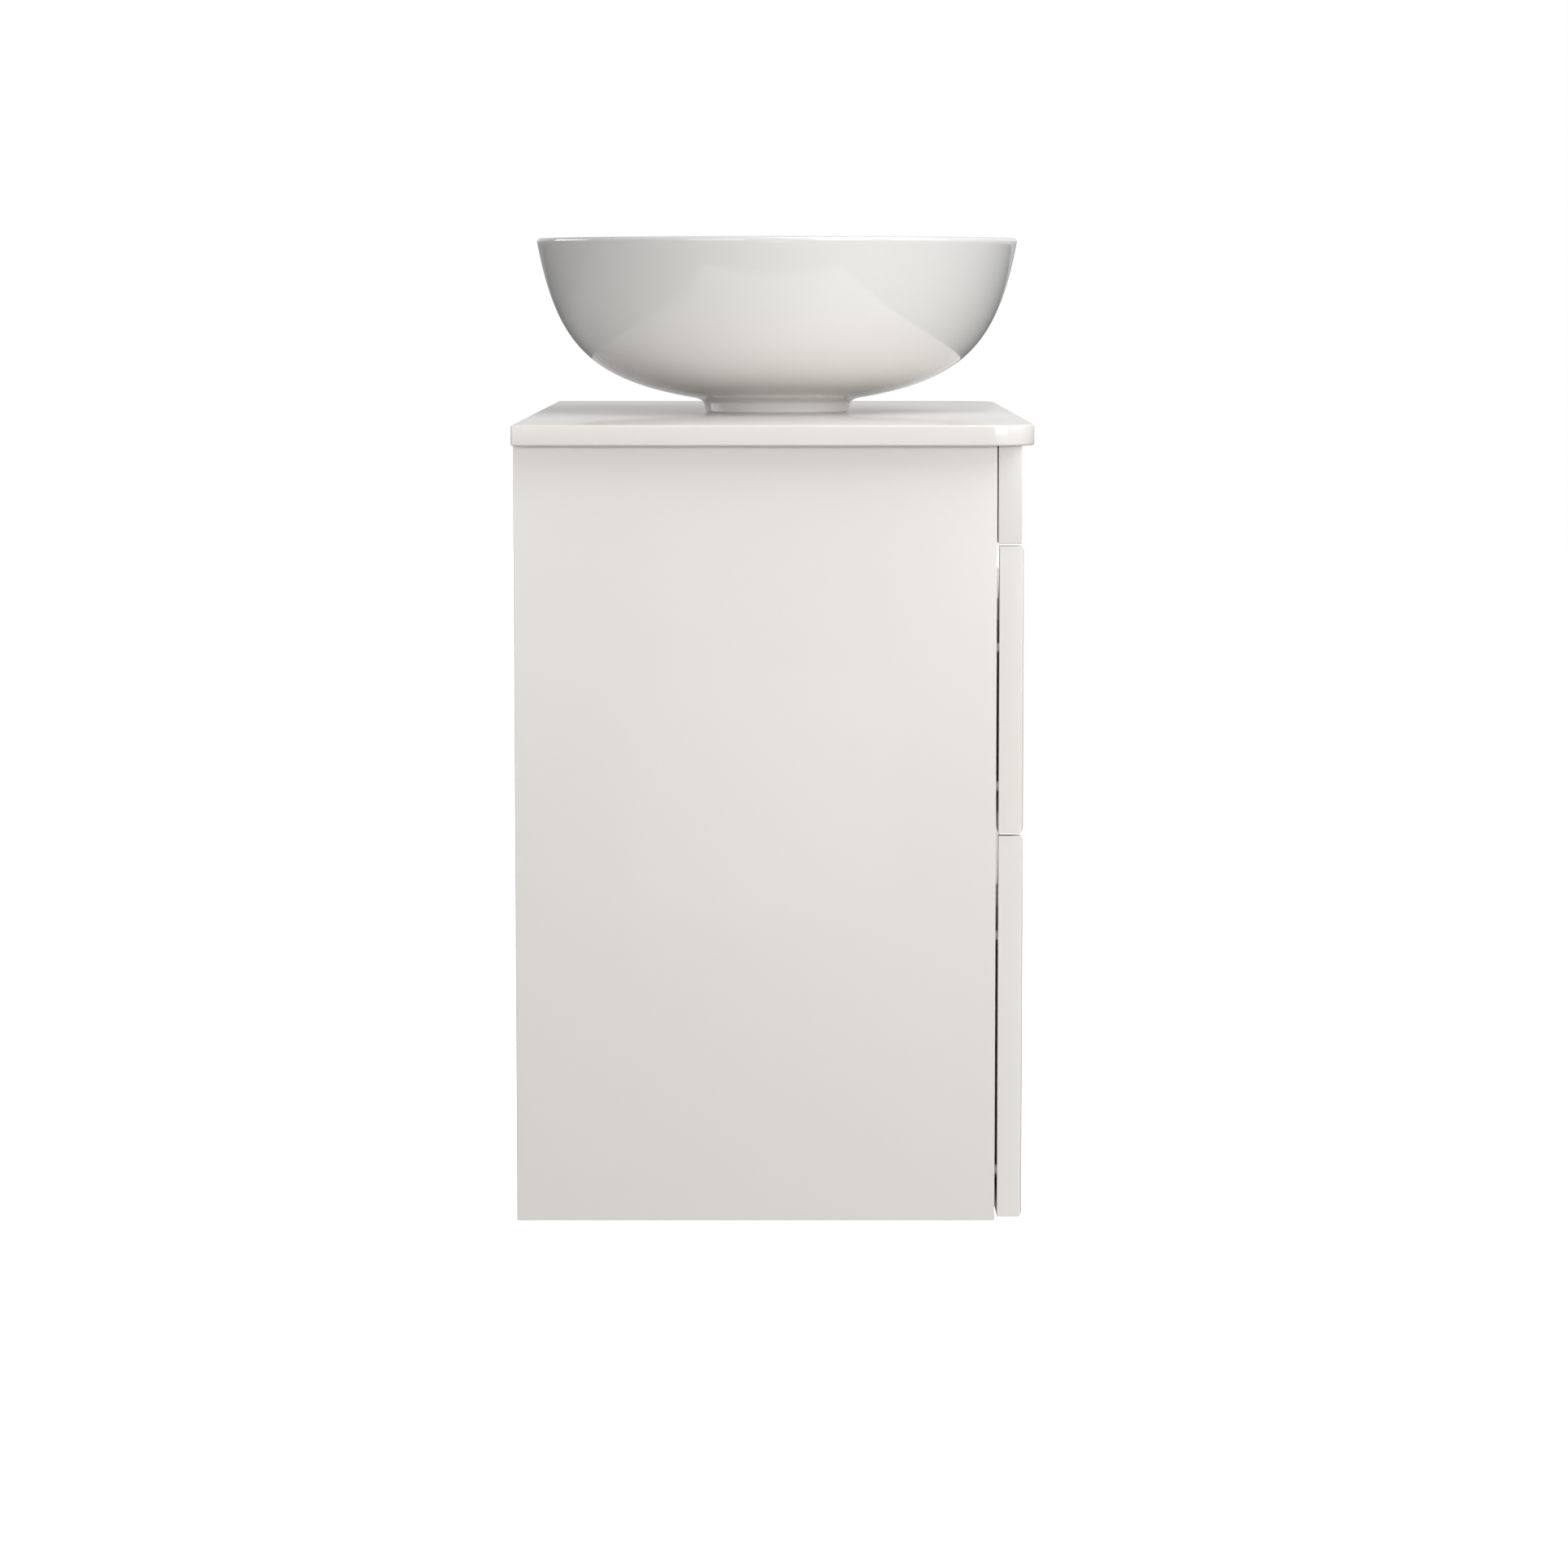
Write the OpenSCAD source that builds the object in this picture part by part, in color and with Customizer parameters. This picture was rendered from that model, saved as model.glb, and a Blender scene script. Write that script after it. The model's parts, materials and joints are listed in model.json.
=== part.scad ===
// Wall-hung bathroom vanity: a thin top with a round vessel basin, a fixed
// fascia and two drawers with grip notches, on ball-bearing runners.
// Millimetres. X is the width, +Y points to the wall and -Y to the user.
// Z = 0 is the lower end of the side panels. Y = 0 is the middle of the whole
// depth, with the basin. A depth in this file is a distance in front of the wall.

/* [Top] */
// Width of the top, end to end
top_w = 800; // [640:10:1200]
// Depth of the top, from the wall to its front edge
top_d = 400; // [330:5:520]
// Thickness of the top
top_t = 16; // [12:1:40]
// Radius of the two front corners of the top, seen from above
top_corner_r = 35; // [5:1:60]
// How far the top stands out past each side panel
top_side_overhang = 15; // [0:1:30]
// How far the top stands out past the drawer fronts
top_front_overhang = 8; // [0:1:20]

/* [Carcass] */
// Height of the side panels
carcass_h = 600; // [500:5:720]
// Thickness of the carcass panels
panel_t = 16; // [15:1:19]
// Space between the side panels and the wall
wall_gap = 1; // [0:0.5:5]
// Depth behind the drawers, kept for the rails, the hooks and the pipes
service_d = 72; // [66:1:120]
// How far the back rails stand in front of the side panels' rear edges
rail_setback = 18; // [14:1:25]
// Height of the two back rails
back_rail_h = 100; // [90:5:140]
// Depth of the flat rail under the front of the top
front_rail_d = 80; // [60:5:110]
// Height of the fixed fascia under the top
fascia_h = 75; // [60:1:100]
// Thickness of the fascia
fascia_t = 18; // [16:1:19]
// Gap between the side panels' front edges and the fascia
fascia_gap = 1; // [0.5:0.5:3]

/* [Drawer fronts] */
// Thickness of the drawer fronts
front_t = 19; // [16:1:23]
// Height of the upper drawer front
upper_front_h = 221; // [185:1:265]
// Gap between one front and the next, and under the fascia
front_gap = 2; // [2:0.5:4]
// How far the lower front stays above the lower end of the side panels
bottom_reveal = 3; // [0:1:20]
// Radius of the rounded edges round the face of a drawer front
front_edge_r = 5; // [1:0.5:8]
// Depth of the grip notch in the upper edge of each drawer front
grip_depth = 42; // [25:1:50]
// Width of the full-height cheek at each end of a grip notch
grip_cheek_w = 12; // [8:1:40]
// Radius of the lower corners of a grip notch
grip_corner_r = 20; // [5:1:24]
// Depth of the recess behind the grip notches, from the side panels' edges
grip_recess_d = 30; // [22:1:34]
// Thickness of the soft bumpers between the side panels and the fronts
bumper_t = 2; // [1.5:0.5:3]

/* [Drawer boxes] */
// Thickness of the sides, backs and inner fronts of the drawers
box_t = 12; // [10:1:15]
// Thickness of the drawer bottoms
base_t = 8; // [6:1:10]
// How far a drawer bottom is let into the panels round it
base_let_in = 6; // [4:1:7]
// Height of a drawer bottom above the lower edge of the drawer sides
base_rise = 10; // [8:1:14]
// How far the drawer sides stay below the upper edge of their front
side_drop = 58; // [52:1:80]
// Height of the upper drawer's sides above the lower edge of their front
upper_side_lift = 13; // [8:1:20]
// Space between the carcass bottom and the lower drawer
lower_box_clear = 12; // [6:1:20]
// Clear width of the recess that the upper drawer has round the trap
recess_w = 160; // [120:2:220]
// Distance from the trap's axis to the closed end of that recess
recess_reach = 60; // [48:1:80]
// Thickness of the walls of that recess
liner_t = 10; // [8:1:12]

/* [Runners] */
// Space between a side panel and a drawer, which a runner fills
runner_w = 13; // [12.5:0.1:14]
// Height of a runner
runner_h = 45; // [35:1:50]
// Thickness of the runner steel
runner_steel_t = 1.2; // [1:0.1:1.5]
// Height of a runner above the lower edge of the drawer side
runner_rise = 22; // [14:1:40]
// Running space between two members of a runner
runner_play = 0.8; // [0.4:0.1:1]
// How far the front end of a runner stands back from the side panel's edge
runner_inset = 2; // [1:1:6]

/* [Basin] */
// Outside diameter of the basin at its rim
basin_d = 402; // [335:1:485]
// Height of the basin above the top
basin_h = 145; // [120:1:175]
// Thickness of the rim
rim_t = 6; // [4:0.5:9]
// Diameter of the foot where it meets the bowl
foot_d = 125; // [110:1:150]
// Height of the foot
foot_h = 11; // [9:1:16]
// Width of the ring that the foot stands on
foot_ring_w = 8; // [6:1:12]
// Height of the basin's floor above the top
floor_h = 21; // [19:1:26]
// How far the basin stands in front of the middle of the top
basin_forward = 2; // [-10:1:15]

/* [Waste and trap] */
// Diameter of the threaded tube of the waste
waste_d = 43.8; // [42:0.1:46]
// Diameter of the waste's flange in the basin floor
waste_flange_d = 63; // [58:1:66]
// Thickness of the flange at its edge
waste_flange_t = 2.5; // [2:0.5:3]
// Space round the waste tube in the basin and in the top
waste_play = 1.2; // [0.5:0.1:3]
// Diameter of the plug's cap
plug_d = 60; // [52:1:62]
// How far the plug travels between open and shut
plug_travel = 8; // [5:1:10]
// Diameter of the plug's stem
plug_stem_d = 8; // [6:0.5:10]
// Radial space between the stem and its guide
stem_play = 0.05; // [0.02:0.01:0.1]
// Diameter of the trap's pipes
pipe_d = 32; // [30:1:36]
// Wall of the trap's pipes and cup
pipe_wall = 1.8; // [1.4:0.1:2.4]
// Diameter of the trap's cup
cup_d = 70; // [60:1:80]
// Distance from the upper face of the top down to the outlet pipe's axis
outlet_drop = 146; // [140:1:170]
// Distance from the upper face of the top down to the lower end of the cup
cup_drop = 230; // [215:1:260]

/* [Hidden] */

$fn = 64;

lacquer = "#e9e6e1";
inside_white = "#dedcd7";
glaze = "#f2f1ee";
steel = "#b9bcc0";
chrome = "#cfd2d6";
rubber = "#2c2c2e";
trap_white = "#f0f0ef";
birch = "#d8bf94";

// Widths
carcass_w = top_w - 2 * top_side_overhang;
inner_x = carcass_w / 2 - panel_t;
box_x = inner_x - runner_w;

// Depths in front of the wall
front_face_d = top_d - top_front_overhang;
front_back_d = front_face_d - front_t;
side_front_d = front_back_d - bumper_t;
side_back_d = wall_gap;
rail_back_d = side_back_d + rail_setback;
rail_front_d = rail_back_d + panel_t;
fascia_back_d = side_front_d + fascia_gap;
box_back_d = side_back_d + service_d;
box_l = front_back_d - box_back_d;
runner_front_d = side_front_d - runner_inset;
runner_back_d = runner_front_d - box_l;
basin_axis_d = top_d / 2 + basin_forward;
recess_front_d = basin_axis_d + recess_reach;
whole_d = max(top_d, basin_axis_d + basin_d / 2);

// Heights
top_z = carcass_h + top_t;
fascia_z = carcass_h - fascia_h;
upper_front_z = fascia_z - front_gap - upper_front_h;
lower_front_z = bottom_reveal;
lower_front_h = upper_front_z - front_gap - lower_front_z;
upper_box_z = upper_front_z + upper_side_lift;
upper_side_h = upper_front_h - side_drop - upper_side_lift;
lower_box_z = panel_t + lower_box_clear;
lower_side_h = lower_front_z + lower_front_h - side_drop - lower_box_z;
upper_runner_z = upper_box_z + runner_rise + runner_h / 2;
lower_runner_z = lower_box_z + runner_rise + runner_h / 2;
outlet_z = top_z - outlet_drop;
cup_z = top_z - cup_drop;

// Screws, dowels and cam fittings
screw_r = 2;
screw_head_r = 3.8;
screw_head_h = 1.5;
screw_bite = 10;
screw_slot_w = 0.9;
dowel_r = 4;
dowel_bite = 12;
dowel_l = 30;
cam_r = 7.5;
cam_h = 12;
cam_bolt_r = 3;
cam_reach = 24;

// Runner members, measured from the side panel's face towards the drawer
middle_u = runner_steel_t + 2;
middle_h = runner_h - 2 * (runner_steel_t + runner_play);
slide_h = middle_h - 2 * (runner_steel_t + runner_play);
member_edge_play = 2;

// Hooks and wall plates
hanger_w = 14;
hanger_l = 65;
hanger_h = 60;
hanger_drop = 10;
hook_w = 10;
hook_t = 3;
hook_drop = 40;
hook_lip = 10;
plate_w = 30;
plate_t = 3;
plate_h = 52;
plate_inset = 4;
tab_d = 8;
tab_lip = 15;
wall_screw_r = 3.5;
wall_screw_pitch = 25;
wall_screw_end = 14;
rail_slot_h = 26;

// Angle brackets
angle_t = 2;
angle_leg = 28;
angle_w = 24;
bracket_clear = 3;
fascia_leg = grip_recess_d + fascia_gap - bracket_clear;
leg_screw_share = 0.6;
fascia_bracket_x = 0.65 * inner_x;
top_bracket_x = 0.54 * inner_x;
top_screw_x = 0.82 * inner_x;

// Bowl curves: how far along and how far up their two middle control points lie
outer_low = [0.711, 0.11];
outer_high = [0.889, 0.38];
inner_low = [0.76, 0.03];
inner_high = [0.915, 0.34];
curve_steps = 22;

// Y of the plane that lies d in front of the wall
function y_at(d) = whole_d / 2 - d;

// Point of a cubic curve from a to b at t, with middle control points at the
// shares low and high of the box between a and b
function curve_point(a, b, low, high, t) =
    let (p = a + [low[0] * (b[0] - a[0]), low[1] * (b[1] - a[1])])
    let (q = a + [high[0] * (b[0] - a[0]), high[1] * (b[1] - a[1])])
    (1 - t) ^ 3 * a + 3 * (1 - t) ^ 2 * t * p + 3 * (1 - t) * t ^ 2 * q + t ^ 3 * b;

function curve(a, b, low, high) =
    [for (i = [0:curve_steps]) curve_point(a, b, low, high, i / curve_steps)];

function reversed(list) = [for (i = [len(list) - 1:-1:0]) list[i]];

// A box between two X values, two depths and two heights
module slab(x0, x1, d0, d1, z0, z1) {
    translate([x0, y_at(d1), z0]) cube([x1 - x0, d1 - d0, z1 - z0]);
}

// Puts what is modelled for the right side on the side asked for
module on_side(side) {
    mirror([side < 0 ? 1 : 0, 0, 0]) children();
}

// A cylinder that runs from a depth towards the user
module along_d(x, d, z, r, l) {
    translate([x, y_at(d), z]) rotate([90, 0, 0]) cylinder(r = r, h = l);
}

// A cylinder that runs from x towards +X
module along_x(x, d, z, r, l) {
    translate([x, y_at(d), z]) rotate([0, 90, 0]) cylinder(r = r, h = l);
}

// Places a piece on the basin's axis at a height
module at_basin(z) {
    translate([0, y_at(basin_axis_d), z]) children();
}

// A ring between two radii
module ring(r_out, r_in, h) {
    difference() {
        cylinder(r = r_out, h = h);
        translate([0, 0, -1]) cylinder(r = r_in, h = h + 2);
    }
}

// A six-sided nut
module hex_nut(across, r_in, h) {
    difference() {
        cylinder(r = across / sqrt(3), h = h, $fn = 6);
        translate([0, 0, -1]) cylinder(r = r_in, h = h + 2);
    }
}

// A pan-head screw along +Z: its head is below z = 0 and its shank above
module screw(shank_l) {
    cylinder(r = screw_r, h = shank_l);
    difference() {
        translate([0, 0, -screw_head_h]) cylinder(r = screw_head_r, h = screw_head_h);
        cross_slot(-screw_head_h);
    }
}

// The cross recess of a screw head whose face is at z
module cross_slot(z) {
    for (turn = [0, 90])
        translate([0, 0, z])
            rotate([0, 0, turn])
                translate([-screw_head_r * 0.6, -screw_slot_w / 2, -1])
                    cube([screw_head_r * 1.2, screw_slot_w, 1 + screw_head_h / 2]);
}

// ---------------------------------------------------------------- top, basin

module countertop() {
    color(lacquer)
    difference() {
        union() {
            slab(-top_w / 2, top_w / 2, 0, top_d - top_corner_r, carcass_h, top_z);
            slab(-top_w / 2 + top_corner_r, top_w / 2 - top_corner_r,
                top_d - top_corner_r, top_d, carcass_h, top_z);
            for (side = [-1, 1])
                translate([side * (top_w / 2 - top_corner_r), y_at(top_d - top_corner_r), carcass_h])
                    cylinder(r = top_corner_r, h = top_t);
        }
        at_basin(carcass_h - 1) cylinder(r = waste_d / 2 + waste_play, h = top_t + 2);
        carcass_screw_shanks();
    }
}

rim_r = rim_t / 2;
foot_r = foot_d / 2;
foot_draft = 3;
foot_recess_h = 7;
flange_seat_r = waste_flange_d / 2 + 0.3;

// Half section of the basin, from the floor outwards and back under the foot
module basin_section() {
    rim_z = basin_h - rim_r;
    outer = curve([foot_r, foot_h], [basin_d / 2, rim_z], outer_low, outer_high);
    inner = curve([flange_seat_r + 2, floor_h], [basin_d / 2 - rim_t, rim_z], inner_low, inner_high);
    rim = [for (a = [165:-15:15]) [basin_d / 2 - rim_r + rim_r * cos(a), rim_z + rim_r * sin(a)]];
    hole_r = waste_d / 2 + waste_play;
    foot_in_r = foot_r - foot_draft - foot_ring_w;
    polygon(concat(
        [[hole_r, floor_h - waste_flange_t], [flange_seat_r, floor_h - waste_flange_t],
            [flange_seat_r, floor_h]],
        inner,
        rim,
        reversed(outer),
        [[foot_r - foot_draft + 0.5, 1], [foot_r - foot_draft - 0.5, 0], [foot_in_r, 0],
            [foot_in_r - 2, foot_recess_h], [hole_r, foot_recess_h]]));
}

module basin() {
    color(glaze) at_basin(top_z) rotate_extrude($fn = 160) basin_section();
}

// Soft washer inside the foot ring, between the basin's underside and the top
module basin_seal() {
    color(rubber) at_basin(top_z)
        ring(waste_flange_d / 2 + 4, waste_d / 2 + waste_play, foot_recess_h);
}

throat_r = waste_d / 2 - 2.6;
waste_len = 76;
guide_z = -14;
guide_h = 8;
guide_r = 8;
guide_arm_w = 3;
guide_arm_inset = 1;
guide_arm_bite = 0.5;
washer_t = 3;
washer_reach = 11;
waste_nut_h = 9;
waste_nut_across = waste_d + 18;

module waste_flange() {
    color(chrome) at_basin(top_z + floor_h) {
        rotate_extrude()
            polygon([[throat_r, -4], [waste_flange_d / 2 - 2, 0.6], [waste_flange_d / 2, 0],
                [waste_flange_d / 2, -waste_flange_t], [waste_d / 2, -waste_flange_t],
                [waste_d / 2, -waste_len], [throat_r, -waste_len]]);
        difference() {
            union() {
                translate([0, 0, guide_z - guide_h]) cylinder(r = guide_r, h = guide_h);
                for (turn = [30:60:150])
                    rotate([0, 0, turn])
                        translate([-throat_r - guide_arm_bite, -guide_arm_w / 2,
                                guide_z - guide_h + guide_arm_inset])
                            cube([2 * (throat_r + guide_arm_bite), guide_arm_w,
                                guide_h - 2 * guide_arm_inset]);
            }
            translate([0, 0, guide_z - guide_h - 1])
                cylinder(r = plug_stem_d / 2 + stem_play, h = guide_h + 2);
        }
    }
}

module waste_washer() {
    color(rubber) at_basin(carcass_h - washer_t)
        ring(waste_d / 2 + washer_reach, waste_d / 2, washer_t);
}

module waste_nut() {
    color(chrome) at_basin(carcass_h - washer_t - waste_nut_h)
        hex_nut(waste_nut_across, waste_d / 2, waste_nut_h);
}

// The plug stands open, plug_travel above its shut place
plug_shut_h = 3.4;
plug_cap_h = 6;
plug_stem_l = 34;
seal_h = 2.4;

module waste_plug() {
    color(chrome) at_basin(top_z + floor_h + plug_shut_h + plug_travel) {
        rotate_extrude()
            polygon([[0, 0], [plug_d / 2 - 1, 0], [plug_d / 2, 1], [plug_d / 2 - 0.6, 3],
                [plug_d / 2 - 4, 4.6], [plug_d / 4, plug_cap_h - 0.5], [0, plug_cap_h]]);
        translate([0, 0, -plug_stem_l]) cylinder(r = plug_stem_d / 2, h = plug_stem_l);
    }
}

module plug_seal() {
    color(rubber) at_basin(top_z + floor_h + plug_shut_h + plug_travel - seal_h)
        ring(plug_d / 2 - 4, plug_stem_d / 2, seal_h);
}

// ---------------------------------------------------------------- trap

pipe_r = pipe_d / 2;
waste_end_z = top_z + floor_h - waste_len;
tail_flange_h = 2;
inlet_nut_h = 20;
inlet_nut_grip = 12;
top_nut_z = outlet_z + 26;
top_nut_h = 15;
body_r = cup_d / 2 - 5;
body_low_z = outlet_z - 34;
body_high_z = outlet_z + 24;
outlet_neck_l = 14;
outlet_nut_l = 17;
nut_wall = 5;
cup_grip_h = 12;
cup_floor_t = 3;
cup_base_h = 6;
cup_base_inset = 4;

module trap_inlet_nut() {
    color(trap_white) at_basin(waste_end_z - inlet_nut_h + inlet_nut_grip)
    difference() {
        cylinder(r = waste_d / 2 + nut_wall, h = inlet_nut_h);
        translate([0, 0, inlet_nut_h - inlet_nut_grip - tail_flange_h])
            cylinder(r = waste_d / 2, h = inlet_nut_h);
        translate([0, 0, -1]) cylinder(r = pipe_r, h = inlet_nut_h);
    }
}

module trap_tailpiece() {
    tail_low_z = cup_z + 28;
    color(chrome) at_basin(0) {
        translate([0, 0, tail_low_z]) ring(pipe_r, pipe_r - pipe_wall, waste_end_z - tail_low_z);
        translate([0, 0, waste_end_z - tail_flange_h])
            ring(waste_d / 2, pipe_r - pipe_wall, tail_flange_h);
    }
}

module trap_top_nut() {
    color(trap_white) at_basin(top_nut_z) ring(pipe_r + nut_wall + 2, pipe_r, top_nut_h);
}

// Head of the trap: a turned shell with a neck towards the wall
module trap_body() {
    color(trap_white)
    difference() {
        union() {
            at_basin(body_low_z) cylinder(r = body_r, h = body_high_z - body_low_z);
            at_basin(body_high_z) cylinder(r = pipe_r + 3, h = top_nut_z - body_high_z);
            translate([0, y_at(basin_axis_d), outlet_z]) rotate([-90, 0, 0])
                cylinder(r = pipe_r + 3, h = body_r + outlet_neck_l);
        }
        at_basin(body_low_z - 1) cylinder(r = body_r - 3, h = body_high_z - body_low_z - 2);
        at_basin(body_low_z) cylinder(r = pipe_r, h = top_nut_z - body_low_z + 1);
        translate([0, y_at(basin_axis_d), outlet_z]) rotate([-90, 0, 0])
            cylinder(r = pipe_r, h = body_r + outlet_neck_l + 1);
    }
}

// The cup screws over the lower end of the body
module trap_cup() {
    color(trap_white) at_basin(cup_z)
    difference() {
        union() {
            cylinder(r = cup_d / 2 - cup_base_inset, h = cup_base_h);
            translate([0, 0, cup_base_inset])
                cylinder(r = cup_d / 2, h = body_low_z + cup_grip_h - cup_z - cup_base_inset);
        }
        translate([0, 0, cup_floor_t])
            cylinder(r = body_r, h = body_low_z + cup_grip_h - cup_z);
    }
}

outlet_start_d = basin_axis_d - body_r - 4;

module trap_outlet_nut() {
    color(trap_white)
    translate([0, y_at(basin_axis_d - body_r - outlet_neck_l), outlet_z]) rotate([-90, 0, 0])
        ring(pipe_r + nut_wall + 2, pipe_r, outlet_nut_l);
}

pipe_bead_w = 3;
pipe_bead_reach = 1.2;
nut_end_d = basin_axis_d - body_r - outlet_neck_l - outlet_nut_l;

// Outlet pipe, with a rolled bead at the nut that a wall socket stops against
module trap_outlet_pipe() {
    color(chrome)
    translate([0, y_at(0), outlet_z]) rotate([90, 0, 0])
    difference() {
        union() {
            cylinder(r = pipe_r, h = outlet_start_d);
            translate([0, 0, nut_end_d - pipe_bead_w])
                cylinder(r = pipe_r + pipe_bead_reach, h = pipe_bead_w);
        }
        translate([0, 0, -1]) cylinder(r = pipe_r - pipe_wall, h = outlet_start_d + 2);
    }
}

// ---------------------------------------------------------------- carcass

// Depths of the fixings that hold the flat panels to a side panel
bottom_fix_d = [side_back_d + 60, side_front_d - 60];
rail_fix_d = [side_front_d - front_rail_d / 2];
dowel_gap = 32;

// Where a flat panel's lower face lies, with the depths of its fixings
flat_joints = [[0, bottom_fix_d], [carcass_h - panel_t, rail_fix_d]];
// Heights of the fixings that hold the two back rails
back_joint_z = [panel_t + back_rail_h / 2, carcass_h - 0.78 * back_rail_h];

// The cams and their bolts on the right side
module cam_fittings() {
    for (joint = flat_joints)
        for (d = joint[1]) {
            translate([inner_x - cam_reach, y_at(d), joint[0] + panel_t - cam_h])
                cylinder(r = cam_r, h = cam_h);
            along_x(inner_x - cam_reach, d, joint[0] + panel_t / 2, cam_bolt_r, cam_reach + screw_bite);
        }
    for (z = back_joint_z) {
        along_d(inner_x - cam_reach, rail_front_d - cam_h, z, cam_r, cam_h);
        along_x(inner_x - cam_reach, rail_front_d - panel_t / 2, z, cam_bolt_r, cam_reach + screw_bite);
    }
}

// The dowels on the right side
module dowel_fittings() {
    for (joint = flat_joints)
        for (d = joint[1])
            along_x(inner_x - dowel_l + dowel_bite, d - dowel_gap, joint[0] + panel_t / 2,
                dowel_r, dowel_l);
    for (z = back_joint_z)
        along_x(inner_x - dowel_l + dowel_bite, rail_front_d - panel_t / 2, z - dowel_gap / 2,
            dowel_r, dowel_l);
    for (span = board_spans)
        for (share = board_dowel_shares)
            along_x(inner_x - dowel_l + dowel_bite, board_front_d - panel_t / 2,
                span[0] + share * (span[1] - span[0]), dowel_r, dowel_l);
}

module all_fittings() {
    for (side = [-1, 1])
        on_side(side) {
            cam_fittings();
            dowel_fittings();
        }
}

module cam_locks() {
    color(steel)
    difference() {
        for (side = [-1, 1]) on_side(side) cam_fittings();
        for (side = [-1, 1])
            on_side(side) {
                for (joint = flat_joints)
                    for (d = joint[1])
                        translate([inner_x - cam_reach, y_at(d), joint[0] + panel_t])
                            cube([2 * cam_r - 3, 1.6, 4], center = true);
                for (z = back_joint_z)
                    translate([inner_x - cam_reach, y_at(rail_front_d), z])
                        cube([2 * cam_r - 3, 4, 1.6], center = true);
            }
    }
}

module panel_dowels() {
    color(birch) for (side = [-1, 1]) on_side(side) dowel_fittings();
}

// Depths of the screws along a runner
function runner_screw_d() =
    [runner_back_d + 35, (runner_back_d + runner_front_d) / 2, runner_front_d - 35];

// Screws that hold the carcass members of the right runners
module rail_screw_set(slotted) {
    for (z = [upper_runner_z, lower_runner_z])
        for (d = runner_screw_d())
            translate([inner_x - runner_steel_t, y_at(d), z]) rotate([0, 90, 0])
                if (slotted) screw(runner_steel_t + screw_bite);
                else cylinder(r = screw_r, h = runner_steel_t + screw_bite);
}

module side_panel() {
    difference() {
        slab(inner_x, carcass_w / 2, side_back_d, side_front_d, 0, carcass_h);
        cam_fittings();
        dowel_fittings();
        rail_screw_set(false);
    }
}

module side_panel_left() { color(lacquer) on_side(-1) side_panel(); }
module side_panel_right() { color(lacquer) on_side(1) side_panel(); }

module bottom_panel() {
    color(inside_white)
    difference() {
        slab(-inner_x, inner_x, side_back_d, side_front_d, 0, panel_t);
        all_fittings();
    }
}

module front_rail() {
    color(inside_white)
    difference() {
        slab(-inner_x, inner_x, side_front_d - front_rail_d, side_front_d,
            carcass_h - panel_t, carcass_h);
        all_fittings();
        carcass_screw_shanks();
    }
}

module back_rail(z) {
    difference() {
        slab(-inner_x, inner_x, rail_back_d, rail_front_d, z, z + back_rail_h);
        all_fittings();
    }
}

module back_rail_upper() {
    slot_z = carcass_h - hook_drop - rail_slot_h / 2;
    color(inside_white)
    difference() {
        back_rail(carcass_h - back_rail_h);
        for (side = [-1, 1])
            on_side(side)
                slab(inner_x - hanger_w, inner_x + 1, rail_back_d - 1, rail_front_d + 1,
                    slot_z, slot_z + rail_slot_h);
        carcass_screw_shanks();
    }
}

module back_rail_lower() { color(inside_white) back_rail(panel_t); }

module fascia() {
    color(lacquer)
    difference() {
        slab(-carcass_w / 2, carcass_w / 2, fascia_back_d, fascia_back_d + fascia_t,
            fascia_z, carcass_h);
        carcass_screw_shanks();
    }
}

// An L of two legs: one flat under z, one upright at depth d, bent at their corner
module angle_bracket(x, d, z, flat_leg, towards_wall) {
    flat_d0 = towards_wall ? d - flat_leg : d;
    upright_d0 = towards_wall ? d - angle_t : d;
    slab(x - angle_w / 2, x + angle_w / 2, flat_d0, flat_d0 + flat_leg, z - angle_t, z);
    slab(x - angle_w / 2, x + angle_w / 2, upright_d0, upright_d0 + angle_t, z - angle_leg, z);
}

module fascia_brackets() {
    color(steel)
    difference() {
        for (side = [-1, 1])
            angle_bracket(side * fascia_bracket_x, fascia_back_d, carcass_h - panel_t,
                fascia_leg, true);
        carcass_screw_shanks();
    }
}

module top_brackets() {
    color(steel)
    difference() {
        for (side = [-1, 1])
            angle_bracket(side * top_bracket_x, rail_front_d, carcass_h, angle_leg, false);
        carcass_screw_shanks();
    }
}

// One screw that goes up from z, or forwards or back from depth d
module up_screw(x, d, z, l, slotted) {
    translate([x, y_at(d), z]) if (slotted) screw(l); else cylinder(r = screw_r, h = l);
}

module forward_screw(x, d, z, l, slotted) {
    translate([x, y_at(d), z]) rotate([90, 0, 0])
        if (slotted) screw(l); else cylinder(r = screw_r, h = l);
}

module backward_screw(x, d, z, l, slotted) {
    translate([x, y_at(d), z]) rotate([-90, 0, 0])
        if (slotted) screw(l); else cylinder(r = screw_r, h = l);
}

module carcass_screw_set(slotted) {
    leg_mid = angle_leg * leg_screw_share;
    top_screw_d = (side_front_d - front_rail_d + board_front_d - panel_t) / 2;
    for (side = [-1, 1]) {
        up_screw(side * top_screw_x, top_screw_d, carcass_h - panel_t, panel_t + screw_bite,
            slotted);
        up_screw(side * fascia_bracket_x, fascia_back_d - fascia_leg * leg_screw_share,
            carcass_h - panel_t - angle_t, angle_t + screw_bite, slotted);
        forward_screw(side * fascia_bracket_x, fascia_back_d - angle_t,
            carcass_h - panel_t - leg_mid, angle_t + screw_bite, slotted);
        up_screw(side * top_bracket_x, rail_front_d + leg_mid, carcass_h - angle_t,
            angle_t + screw_bite, slotted);
        backward_screw(side * top_bracket_x, rail_front_d + angle_t, carcass_h - leg_mid,
            angle_t + screw_bite, slotted);
    }
}

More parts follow.
